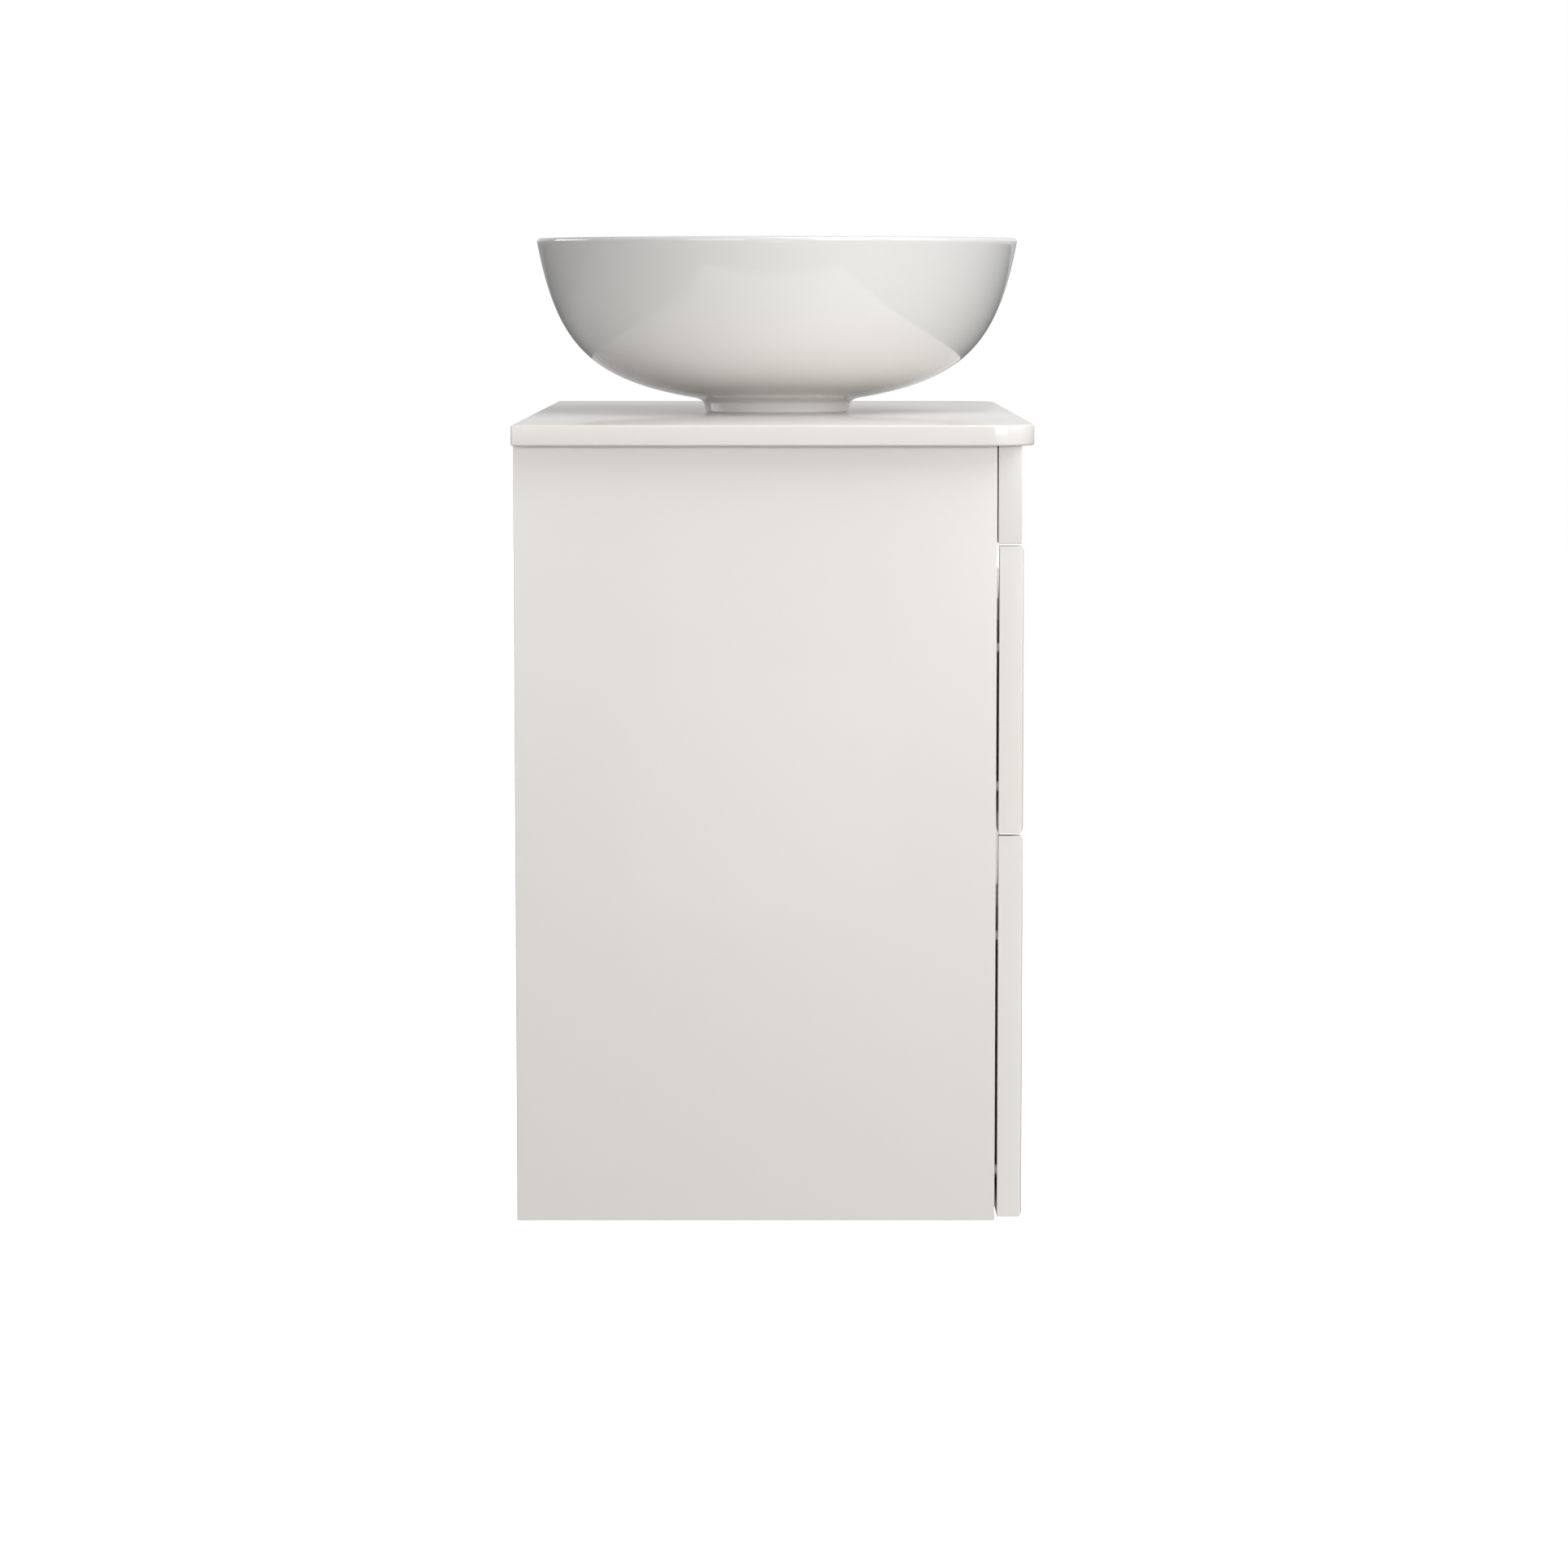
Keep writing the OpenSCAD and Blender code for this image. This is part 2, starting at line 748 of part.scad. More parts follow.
module carcass_screw_shanks() { carcass_screw_set(false); }
module carcass_screws() { color(steel) carcass_screw_set(true); }

// ---------------------------------------------------------------- wall hanging

hook_z = carcass_h - hook_drop;
hanger_d = rail_front_d;

module hanger() {
    difference() {
        slab(inner_x - hanger_w, inner_x, hanger_d, hanger_d + hanger_l,
            carcass_h - hanger_drop - hanger_h, carcass_h - hanger_drop);
        hook_strip();
        hanger_screw_holes();
    }
}

hanger_screw_l = 20;

hanger_screw_r = 4;
hanger_screw_play = 1;
hanger_screw_sunk = 6;
hanger_screw_end = 14;
hanger_screw_z = [carcass_h - hanger_drop - hanger_screw_end,
    carcass_h - hanger_drop - hanger_h + hanger_screw_end];

// Holes in the front of a housing, down to its screws' inner ends
module hanger_screw_holes() {
    l = hanger_screw_l + hanger_screw_sunk;
    for (z = hanger_screw_z)
        along_d(inner_x - hanger_w / 2, hanger_d + hanger_l - l, z,
            hanger_screw_r + hanger_screw_play, l + 1);
}

module hanger_left() { color("white") on_side(-1) hanger(); }
module hanger_right() { color("white") on_side(1) hanger(); }

// The steel strip of a hook, from inside its housing to behind the plate's tab
module hook_strip() {
    x0 = inner_x - hanger_w / 2 - hook_w / 2;
    slab(x0, x0 + hook_w, plate_t, hanger_d + hanger_l / 2, hook_z - hook_t, hook_z);
    slab(x0, x0 + hook_w, plate_t, plate_t + hook_t, hook_z - hook_t - hook_lip, hook_z);
}

module hanger_hooks() { color(steel) for (side = [-1, 1]) on_side(side) hook_strip(); }

module hanger_screws() {
    color(steel)
    for (side = [-1, 1])
        on_side(side)
            difference() {
                for (z = hanger_screw_z)
                    along_d(inner_x - hanger_w / 2,
                        hanger_d + hanger_l - hanger_screw_l - hanger_screw_sunk, z,
                        hanger_screw_r, hanger_screw_l);
                for (z = hanger_screw_z)
                    translate([inner_x - hanger_w / 2,
                            y_at(hanger_d + hanger_l - hanger_screw_sunk), z]) {
                        cube([6, 4, 1.4], center = true);
                        cube([1.4, 4, 6], center = true);
                    }
            }
}

// A plate screwed to the wall, with a tab that stands off it for the hook
module wall_plates() {
    tab_z = hook_z - hook_t;
    foot_z = tab_z - tab_lip;
    color(steel)
    for (side = [-1, 1])
        on_side(side)
            difference() {
                x1 = inner_x - plate_inset;
                x0 = x1 - plate_w;
                union() {
                    slab(x0, x1, 0, plate_t, foot_z - plate_h, foot_z);
                    slab(x0, x1, 0, tab_d + plate_t, foot_z, foot_z + plate_t);
                    slab(x0, x1, tab_d, tab_d + plate_t, foot_z, tab_z);
                }
                for (i = [0, 1])
                    along_d((x0 + x1) / 2, -1, foot_z - wall_screw_end - i * wall_screw_pitch,
                        wall_screw_r, plate_t + 2);
            }
}

// Two upright boards that close the grip recesses at the back
board_play = 5;
board_dowel_shares = [0.28, 0.72];
board_front_d = side_front_d - grip_recess_d;
board_spans = [[lower_box_z + lower_side_h + board_play, upper_box_z - board_play],
    [upper_box_z + upper_side_h + board_play, carcass_h - panel_t]];

module grip_boards() {
    color(inside_white)
    difference() {
        for (span = board_spans)
            slab(-inner_x, inner_x, board_front_d - panel_t, board_front_d, span[0], span[1]);
        all_fittings();
    }
}

// Soft discs on the side panels' front edges, at the corners of each front
bumper_r = 4;
bumper_end = 36;

module front_bumpers() {
    color("#f4f4f4")
    for (side = [-1, 1])
        on_side(side)
            for (z = [lower_front_z + bumper_end, lower_front_z + lower_front_h - grip_depth - bumper_end,
                    upper_front_z + bumper_end, upper_front_z + upper_front_h - grip_depth - bumper_end])
                along_d(carcass_w / 2 - panel_t / 2, side_front_d, z, bumper_r, bumper_t);
}

// ---------------------------------------------------------------- runners

// A channel member on the right: u0 and u1 are its extent from the panel's face
module channel(u0, u1, web_u, h, z) {
    t = runner_steel_t;
    difference() {
        slab(inner_x - u1, inner_x - u0, runner_back_d, runner_front_d, z - h / 2, z + h / 2);
        if (web_u == u0)
            slab(inner_x - u1 - 1, inner_x - u0 - t, runner_back_d - 1, runner_front_d + 1,
                z - h / 2 + t, z + h / 2 - t);
        else
            slab(inner_x - u1 + t, inner_x - u0 + 1, runner_back_d - 1, runner_front_d + 1,
                z - h / 2 + t, z + h / 2 - t);
    }
}

module cabinet_rail(z) {
    difference() {
        channel(0, runner_w - runner_steel_t - member_edge_play / 2, 0, runner_h, z);
        rail_screw_set(false);
    }
}

module middle_member(z) {
    channel(middle_u, runner_w - runner_steel_t - member_edge_play, middle_u, middle_h, z);
}

module slide_member(z) {
    channel(middle_u + runner_steel_t + member_edge_play, runner_w, runner_w, slide_h, z);
}

module upper_rail_left() { color(steel) on_side(-1) cabinet_rail(upper_runner_z); }
module upper_rail_right() { color(steel) on_side(1) cabinet_rail(upper_runner_z); }
module lower_rail_left() { color(steel) on_side(-1) cabinet_rail(lower_runner_z); }
module lower_rail_right() { color(steel) on_side(1) cabinet_rail(lower_runner_z); }
module rail_screws() { color(steel) for (side = [-1, 1]) on_side(side) rail_screw_set(true); }
module upper_middle_left() { color(steel) on_side(-1) middle_member(upper_runner_z); }
module upper_middle_right() { color(steel) on_side(1) middle_member(upper_runner_z); }
module lower_middle_left() { color(steel) on_side(-1) middle_member(lower_runner_z); }
module lower_middle_right() { color(steel) on_side(1) middle_member(lower_runner_z); }

// ---------------------------------------------------------------- drawers

front_screw_x = [-0.78 * box_x, -0.3 * box_x, 0.3 * box_x, 0.78 * box_x];

// Side view of a front: its face edges are rounded, its back edges square
module front_side_view(h) {
    r = front_edge_r;
    square([front_t - r, h]);
    translate([front_t - r, r]) square([r, h - 2 * r]);
    for (y = [r, h - r]) translate([front_t - r, y]) circle(r = r);
}

// The grip notch, seen from the front, for a front of height h
module notch_view(h) {
    half = carcass_w / 2 - grip_cheek_w;
    low = h - grip_depth;
    r = grip_corner_r;
    difference() {
        translate([-half, low]) square([2 * half, grip_depth + 1]);
        for (side = [-1, 1])
            difference() {
                translate([side * (half - r / 2) - r / 2, low]) square([r, r]);
                translate([side * (half - r), low + r]) circle(r = r);
            }
    }
}

// A drawer front with its lower edge at z
module drawer_front(z, h) {
    difference() {
        intersection() {
            translate([-carcass_w / 2, y_at(front_back_d), z])
                rotate([90, 0, 90]) linear_extrude(carcass_w) mirror([1, 0]) front_side_view(h);
            translate([0, y_at(front_back_d), z])
                linear_extrude(h) front_plan_view();
        }
        translate([0, y_at(front_back_d) + 1, z])
            rotate([90, 0, 0]) linear_extrude(front_t + 2) notch_view(h);
        front_screw_set(z, h, false);
    }
}

// Plan view of a front: the two face corners are rounded
module front_plan_view() {
    r = front_edge_r;
    translate([-carcass_w / 2, -front_t + r]) square([carcass_w, front_t - r]);
    translate([-carcass_w / 2 + r, -front_t]) square([carcass_w - 2 * r, r]);
    for (side = [-1, 1]) translate([side * (carcass_w / 2 - r), -front_t + r]) circle(r = r);
}

// Screws from inside a drawer into its front
module front_screw_set(z, h, slotted) {
    for (x = front_screw_x)
        forward_screw(x, front_back_d - box_t, z + (h - grip_depth) / 2, box_t + screw_bite, slotted);
}

module drawer_side(z, h) {
    difference() {
        slab(box_x - box_t, box_x, box_back_d, front_back_d, z, z + h);
        slab(box_x - box_t - 1, box_x - box_t + base_let_in, box_back_d - 1,
            front_back_d - box_t + base_let_in, z + base_rise, z + base_rise + base_t);
        slide_screw_set(z + runner_rise + runner_h / 2, false);
    }
}

// Screws that hold the drawer member of the right runner
module slide_screw_set(z, slotted) {
    for (d = runner_screw_d())
        translate([box_x + runner_steel_t, y_at(d), z]) rotate([0, -90, 0])
            if (slotted) screw(runner_steel_t + screw_bite);
            else cylinder(r = screw_r, h = runner_steel_t + screw_bite);
}

module inner_front(z, h, front_z, front_h) {
    difference() {
        slab(-box_x + box_t, box_x - box_t, front_back_d - box_t, front_back_d, z, z + h);
        slab(-box_x, box_x, front_back_d - box_t - 1, front_back_d - box_t + base_let_in,
            z + base_rise, z + base_rise + base_t);
        front_screw_set(front_z, front_h, false);
    }
}

module drawer_base(z) {
    half = box_x - box_t + base_let_in;
    slab(-half, half, box_back_d, front_back_d - box_t + base_let_in,
        z + base_rise, z + base_rise + base_t);
}

module drawer_slides(z) {
    for (side = [-1, 1])
        on_side(side)
            difference() {
                slide_member(z);
                slide_screw_set(z, false);
            }
}

module drawer_screws(runner_z, front_z, front_h) {
    for (side = [-1, 1]) on_side(side) slide_screw_set(runner_z, true);
    front_screw_set(front_z, front_h, true);
}

module upper_front() { color(lacquer) drawer_front(upper_front_z, upper_front_h); }
module upper_inner_front() {
    color(inside_white) inner_front(upper_box_z, upper_side_h, upper_front_z, upper_front_h);
}
module upper_side_left() { color(inside_white) on_side(-1) drawer_side(upper_box_z, upper_side_h); }
module upper_side_right() { color(inside_white) on_side(1) drawer_side(upper_box_z, upper_side_h); }

module upper_backs() {
    color(inside_white)
    for (side = [-1, 1])
        on_side(side)
            slab(recess_w / 2 + liner_t, box_x - box_t, box_back_d, box_back_d + box_t,
                upper_box_z + base_rise + base_t, upper_box_z + upper_side_h);
}

module upper_base() {
    half = recess_w / 2 + liner_t;
    color(inside_white)
    difference() {
        drawer_base(upper_box_z);
        slab(-half, half, box_back_d - 1, recess_front_d + liner_t,
            upper_box_z, upper_box_z + upper_side_h);
    }
}

// Walls of the recess that clears the trap, open towards the wall
module trap_liner() {
    half = recess_w / 2 + liner_t;
    low = upper_box_z + base_rise;
    high = upper_box_z + upper_side_h;
    color(inside_white)
    difference() {
        slab(-half, half, box_back_d, recess_front_d + liner_t, low, high);
        slab(-recess_w / 2, recess_w / 2, box_back_d - 1, recess_front_d, low - 1, high + 1);
    }
}

module upper_slides() { color(steel) drawer_slides(upper_runner_z); }
module upper_screws() { color(steel) drawer_screws(upper_runner_z, upper_front_z, upper_front_h); }

module lower_front() { color(lacquer) drawer_front(lower_front_z, lower_front_h); }
module lower_inner_front() {
    color(inside_white) inner_front(lower_box_z, lower_side_h, lower_front_z, lower_front_h);
}
module lower_side_left() { color(inside_white) on_side(-1) drawer_side(lower_box_z, lower_side_h); }
module lower_side_right() { color(inside_white) on_side(1) drawer_side(lower_box_z, lower_side_h); }

module lower_back() {
    color(inside_white)
    slab(-box_x + box_t, box_x - box_t, box_back_d, box_back_d + box_t,
        lower_box_z + base_rise + base_t, lower_box_z + lower_side_h);
}

module lower_base() { color(inside_white) drawer_base(lower_box_z); }
module lower_slides() { color(steel) drawer_slides(lower_runner_z); }
module lower_screws() { color(steel) drawer_screws(lower_runner_z, lower_front_z, lower_front_h); }

countertop();
basin();
basin_seal();
waste_flange();
waste_washer();
waste_nut();
waste_plug();
plug_seal();
trap_inlet_nut();
trap_tailpiece();
trap_top_nut();
trap_body();
trap_cup();
trap_outlet_nut();
trap_outlet_pipe();
side_panel_left();
side_panel_right();
bottom_panel();
front_rail();
back_rail_upper();
back_rail_lower();
fascia();
fascia_brackets();
top_brackets();
carcass_screws();
cam_locks();
panel_dowels();
hanger_left();
hanger_right();
hanger_hooks();
hanger_screws();
wall_plates();
grip_boards();
front_bumpers();
upper_rail_left();
upper_rail_right();
lower_rail_left();
lower_rail_right();
rail_screws();
upper_middle_left();
upper_middle_right();
lower_middle_left();
lower_middle_right();
upper_front();
upper_inner_front();
upper_side_left();
upper_side_right();
upper_backs();
upper_base();
trap_liner();
upper_slides();
upper_screws();
lower_front();
lower_inner_front();
lower_side_left();
lower_side_right();
lower_back();
lower_base();
lower_slides();
lower_screws();
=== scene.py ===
# %% [markdown]
# A wall-hung bathroom vanity with a round vessel basin. Its sizes come from the
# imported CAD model, which is loaded as a fixed frame. This notebook gives each
# visible piece its finish, and makes again the few whose shape needs more care.

# %% Load the frame
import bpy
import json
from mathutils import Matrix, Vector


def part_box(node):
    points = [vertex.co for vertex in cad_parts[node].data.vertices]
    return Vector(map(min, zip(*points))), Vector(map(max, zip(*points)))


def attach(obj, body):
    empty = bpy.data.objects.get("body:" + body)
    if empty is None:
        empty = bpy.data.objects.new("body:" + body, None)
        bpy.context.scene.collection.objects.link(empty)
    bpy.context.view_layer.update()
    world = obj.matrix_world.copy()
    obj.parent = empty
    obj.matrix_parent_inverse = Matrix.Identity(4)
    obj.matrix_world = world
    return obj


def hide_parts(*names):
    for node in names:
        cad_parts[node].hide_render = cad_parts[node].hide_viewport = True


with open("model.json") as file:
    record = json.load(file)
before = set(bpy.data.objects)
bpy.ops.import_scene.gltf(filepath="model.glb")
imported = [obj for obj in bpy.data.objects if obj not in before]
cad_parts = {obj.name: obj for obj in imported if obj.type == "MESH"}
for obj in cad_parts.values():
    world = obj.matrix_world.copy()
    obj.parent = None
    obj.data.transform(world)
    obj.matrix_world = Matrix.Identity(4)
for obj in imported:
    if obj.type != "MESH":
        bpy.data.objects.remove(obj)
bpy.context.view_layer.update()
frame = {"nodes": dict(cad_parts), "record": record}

import json
import math

import bmesh
import bpy
from mathutils import Vector

NODES = frame["nodes"]
MM = 0.001

# %% [markdown]
# The camera looks square at the vanity's left side, a little from above. It could
# be held level with its lens shifted down, but a shift would follow the camera to
# every other view, so the whole camera is tipped down instead.

# %% Camera
CAMERA_DISTANCE = 4.143
CAMERA_Y = -0.0064
CAMERA_HEIGHT = 0.7203
CAMERA_TIP = math.radians(5.774)
LENS_MM = 112.8
SENSOR_MM = 36

scene = bpy.context.scene
scene.view_settings.view_transform = "Standard"
camera_data = bpy.data.cameras.new("camera")
camera_data.lens = LENS_MM
camera_data.sensor_width = SENSOR_MM
camera = bpy.data.objects.new("camera", camera_data)
camera.location = (-CAMERA_DISTANCE, CAMERA_Y, CAMERA_HEIGHT)
camera.rotation_euler = (math.pi / 2 - CAMERA_TIP, 0, -math.pi / 2)
scene.collection.objects.link(camera)
scene.camera = camera
print("camera at", tuple(round(v, 3) for v in camera.location))

# %% [markdown]
# The sky and every material are made of nodes. Each node could be added, filled and
# linked in its own lines, but that hides the recipe in wiring. These helpers add a
# node and fill its inputs in one call, where an input may be a number or a link.

# %% Node helpers


def add(tree, kind, values=(), **settings):
    """Adds a node with its settings, and gives each input a value or a link."""
    made = tree.nodes.new(kind)
    for key, value in settings.items():
        setattr(made, key, value)
    for key, value in dict(values).items():
        if isinstance(value, bpy.types.NodeSocket):
            tree.links.new(value, made.inputs[key])
        else:
            made.inputs[key].default_value = value
    return made


def math_node(tree, operation, a, b=0.0, clamp=False):
    made = add(tree, "ShaderNodeMath", {0: a, 1: b}, operation=operation, use_clamp=clamp)
    return made.outputs[0]


def mix_color(tree, share, one, other):
    """One colour where share is 0, the other where it is 1."""
    made = tree.nodes.new("ShaderNodeMix")
    made.data_type = "RGBA"
    for name, value in (("Factor_Float", share), ("A_Color", one), ("B_Color", other)):
        socket = next(s for s in made.inputs if s.identifier == name)
        if isinstance(value, bpy.types.NodeSocket):
            tree.links.new(value, socket)
        else:
            socket.default_value = value
    return next(s for s in made.outputs if s.identifier == "Result_Color")


def ramp(tree, value, start, end, low, high, kind="LINEAR"):
    """Goes from low to high while value goes from start to end."""
    made = add(tree, "ShaderNodeMapRange", {
        "Value": value, "From Min": start, "From Max": end, "To Min": low, "To Max": high},
        interpolation_type=kind)
    return made.outputs[0]


print("helpers:", add.__name__, math_node.__name__, mix_color.__name__, ramp.__name__)

# %% [markdown]
# White pieces on a white ground are shaped only by soft shadow. The sky could be
# one even white, but a round white piece then loses its shape. So it is brighter in
# front of the vanity and dim behind it, as in a studio with dark cloth at the back,
# with one brighter strip over the horizon on the far side, for the top to mirror.
# The camera itself sees a plain white backdrop.

# %% Sky
WHITE = (1, 1, 1, 1)
SKY_FRONT = 0.50
SKY_BACK = 0.20
SKY_STRIP = 0.36
# Where on the sky's unit sphere each change starts and ends
FRONT_TO_BACK_Y = (-0.7, 0.8)
STRIP_X = (0.55, 0.995)
HORIZON_Z = (-0.02, 0.05)

world = bpy.data.worlds.new("studio")
world.use_nodes = True
sky = world.node_tree
sky.nodes.clear()
sky_place = add(sky, "ShaderNodeTexCoord").outputs["Generated"]
sky_way = add(sky, "ShaderNodeSeparateXYZ", {0: sky_place}).outputs
front_to_back = ramp(sky, sky_way["Y"], *FRONT_TO_BACK_Y, SKY_FRONT, SKY_BACK, "SMOOTHSTEP")
far_side = ramp(sky, sky_way["X"], *STRIP_X, 0.0, SKY_STRIP, "SMOOTHSTEP")
over_horizon = ramp(sky, sky_way["Z"], *HORIZON_Z, 0.0, 1.0)
strip = math_node(sky, "MULTIPLY", far_side, over_horizon)
strength = math_node(sky, "ADD", front_to_back, strip)
lighting = add(sky, "ShaderNodeBackground", {"Color": WHITE, "Strength": strength}).outputs[0]
backdrop = add(sky, "ShaderNodeBackground", {"Color": WHITE}).outputs[0]
looked_at = add(sky, "ShaderNodeLightPath").outputs["Is Camera Ray"]
shown = add(sky, "ShaderNodeMixShader", {0: looked_at, 1: lighting, 2: backdrop}).outputs[0]
add(sky, "ShaderNodeOutputWorld", {0: shown})
scene.world = world
print("sky", SKY_FRONT, "in front,", SKY_BACK, "behind")

# %% [markdown]
# Six softboxes do the rest. One big lamp would be simpler, but it leaves a hot spot
# on the gloss. The key stands in front and the rear one behind. Two side ones stand
# past the camera, to its left and right, outside what the flat side panel mirrors to
# it. A small glow lifts the panel's lower end, and the overhead one lights the top
# and the bowl.

# %% Softboxes
MIDDLE = (0, 0, 0.40)
SIDE_TARGET = (0, 0, 0.9)
GLOW_TARGET = (-0.4, 0, 0.35)
# Name, place, target, width and height in metres, and watts
SOFTBOXES = (
    ("key", (-1.0, -2.8, 1.2), MIDDLE, 1.8, 1.0, 12),
    ("rear", (1.6, 3.2, 1.6), MIDDLE, 2.0, 1.0, 22),
    ("side_front", (-4.6, -2.7, 1.1), SIDE_TARGET, 2.6, 0.9, 66),
    ("side_back", (-4.6, 2.6, 1.1), SIDE_TARGET, 2.6, 0.9, 58),
    ("glow", (-3.4, 0, 0.05), GLOW_TARGET, 0.9, 0.7, 1.6),
    ("overhead", (-0.9, -0.9, 2.3), MIDDLE, 1.8, 1.8, 29))


def softbox(name, at, target, width, height, watts):
    data = bpy.data.lights.new(name, "AREA")
    data.shape = "RECTANGLE"
    data.size, data.size_y, data.energy = width, height, watts
    lamp = bpy.data.objects.new(name, data)
    lamp.location = at
    lamp.rotation_euler = (Vector(target) - Vector(at)).to_track_quat("-Z", "Y").to_euler()
    scene.collection.objects.link(lamp)


for box_facts in SOFTBOXES:
    softbox(*box_facts)

# %% [markdown]
# An effect that several finishes share, such as wear, could be copied into each
# material. A node group is built once instead and placed in each with its own
# values. These helpers place a pattern on the piece, start a group and use one.

# %% Group helpers


def place(tree, stretch=(1, 1, 1)):
    """Coordinates that stay with the piece, stretched where a grain is drawn out."""
    spot = add(tree, "ShaderNodeTexCoord").outputs["Object"]
    return add(tree, "ShaderNodeMapping", {"Vector": spot, "Scale": stretch}).outputs[0]


def new_group(name, takes, gives):
    """Starts a group: takes names its numbers, gives names its outputs."""
    tree = bpy.data.node_groups.new(name, "ShaderNodeTree")
    for label, value in takes.items():
        socket = tree.interface.new_socket(label, in_out="INPUT", socket_type="NodeSocketFloat")
        socket.default_value = value
    for label, kind in gives.items():
        tree.interface.new_socket(label, in_out="OUTPUT", socket_type=kind)
    return tree, tree.nodes.new("NodeGroupInput"), tree.nodes.new("NodeGroupOutput")


def use(tree, group, **values):
    made = tree.nodes.new("ShaderNodeGroup")
    made.node_tree = group
    for key, value in values.items():
        made.inputs[key].default_value = value
    return made.outputs


print("helpers:", place.__name__, new_group.__name__, use.__name__)

# %% [markdown]
# A real board or pressing has no knife edge: its edges are broken and worn. Every
# edge could be bevelled, but small pieces stay as the CAD made them. A Bevel node
# rounds the normal instead, and how far it turns from the face gives an edge mask.
# The mask marks rubbed edges on the metals, and on the lacquer it carries a painted highlight.

# %% Edge wear and painted highlight
edge_wear_and_highlight, into, outof = new_group(
    "edge_wear_and_highlight", {"Radius": 0.6 * MM, "Strength": 5.0},
    {"Normal": "NodeSocketVector", "Edge": "NodeSocketFloat"})
rounded = add(edge_wear_and_highlight, "ShaderNodeBevel", {"Radius": into.outputs["Radius"]}, samples=4)
flat = add(edge_wear_and_highlight, "ShaderNodeNewGeometry").outputs["Normal"]
agreement = add(edge_wear_and_highlight, "ShaderNodeVectorMath", {0: rounded.outputs[0], 1: flat},
                operation="DOT_PRODUCT").outputs["Value"]
away = math_node(edge_wear_and_highlight, "SUBTRACT", 1.0, agreement)
edge = math_node(edge_wear_and_highlight, "MULTIPLY", away, into.outputs["Strength"], clamp=True)
edge_wear_and_highlight.links.new(rounded.outputs[0], outof.inputs["Normal"])
edge_wear_and_highlight.links.new(edge, outof.inputs["Edge"])
print("group", edge_wear_and_highlight.name)

# %% [markdown]
# Hands, cloths and time leave cloudy marks that mostly change the gloss. They could
# be painted, but noise at two sizes covers every piece at the same scale: a slow
# cloud for tone and gloss, and a fine one for the texture under a fingertip.

# %% Handling marks
FINE_TIMES = 26.0
handling, into, outof = new_group(
    "handling", {"Size": 9.0}, {"Cloud": "NodeSocketFloat", "Fine": "NodeSocketFloat"})
spot = place(handling)
size = into.outputs["Size"]
cloud = add(handling, "ShaderNodeTexNoise",
            {"Vector": spot, "Scale": size, "Detail": 5.0, "Roughness": 0.6})
fine_size = math_node(handling, "MULTIPLY", size, FINE_TIMES)
fine = add(handling, "ShaderNodeTexNoise", {"Vector": spot, "Scale": fine_size, "Detail": 3.0})
handling.links.new(cloud.outputs["Fac"], outof.inputs["Cloud"])
handling.links.new(fine.outputs["Fac"], outof.inputs["Fine"])
print("group", handling.name)

# %% [markdown]
# Steel strip keeps the long lines of the rollers it passed through. Separate
# scratches would be slow to draw, so noise is stretched fifty times along Y, the
# way the runners lie.

# %% Grain
DRAWN_ALONG_Y = (1, 0.02, 1)
grain, into, outof = new_group("grain", {"Size": 900.0}, {"Lines": "NodeSocketFloat"})
lines = add(grain, "ShaderNodeTexNoise", {
    "Vector": place(grain, DRAWN_ALONG_Y), "Scale": into.outputs["Size"], "Detail": 4.0})
grain.links.new(lines.outputs["Fac"], outof.inputs["Lines"])
print("group", grain.name)

# %% [markdown]
# Every finish ends alike: a tone, a gloss that varies, and a relief so shallow that
# it only stirs the reflections. These helpers start a material and join the three.

# %% Material helpers


def start(name):
    made = bpy.data.materials.new(name)
    made.use_nodes = True
    tree = made.node_tree
    return made, tree, tree.nodes["Principled BSDF"]


def spread(tree, value, low, high):
    """Value 0 to 1 laid out between low and high."""
    return ramp(tree, value, 0.0, 1.0, low, high)


def finish_surface(tree, shader, tone, rough, relief, depth, normal=None):
    """Joins a recipe's tone, roughness and relief, depth in metres, to its shader."""
    tree.links.new(tone, shader.inputs["Base Color"])
    tree.links.new(rough, shader.inputs["Roughness"])
    bump = add(tree, "ShaderNodeBump", {"Height": relief, "Distance": depth, "Strength": 1.0})
    if normal is not None:
        tree.links.new(normal, bump.inputs["Normal"])
    tree.links.new(bump.outputs[0], shader.inputs["Normal"])


print("helpers:", start.__name__, spread.__name__, finish_surface.__name__)

# %% [markdown]
# The outside is board under thick white lacquer. One flat white would look like
# paper, so the tone under the gloss is a warm white that is never quite even. A clear
# coat mirrors the room, and a very shallow ripple, as any sprayed lacquer has,
# breaks up that mirror.

# %% White lacquer
LACQUER_TONES = (0.815, 0.785, 0.750, 1), (0.845, 0.815, 0.782, 1)
LACQUER_EDGE_HIGHLIGHT = (0.875, 0.85, 0.82, 1)
lacquer, tree, shader = start("white_lacquer")
shader.inputs["Coat Weight"].default_value = 0.35
shader.inputs["Coat Roughness"].default_value = 0.08
edges = use(tree, edge_wear_and_highlight, Radius=0.7 * MM, Strength=4.0)
marks = use(tree, handling, Size=4.0)
tone = mix_color(tree, marks["Cloud"], *LACQUER_TONES)
# The lighter tone on the edges is a painted highlight.
tone = mix_color(tree, edges["Edge"], tone, LACQUER_EDGE_HIGHLIGHT)
rough = spread(tree, marks["Cloud"], 0.24, 0.36)
ripple = add(tree, "ShaderNodeTexNoise", {"Vector": place(tree), "Scale": 260.0, "Detail": 1.0})
finish_surface(tree, shader, tone, rough, ripple.outputs["Fac"], 0.006 * MM, edges["Normal"])
print("finish", lacquer.name)

# %% [markdown]
# The glaze is thicker and glassier than the lacquer. It pools and thins, so its
# tone drifts a little. The ring that the foot stands on is left unglazed, because a
# glazed foot would stick to the kiln shelf. That ring could be a piece of its own,
# but a mask on height keeps the basin one turned body.

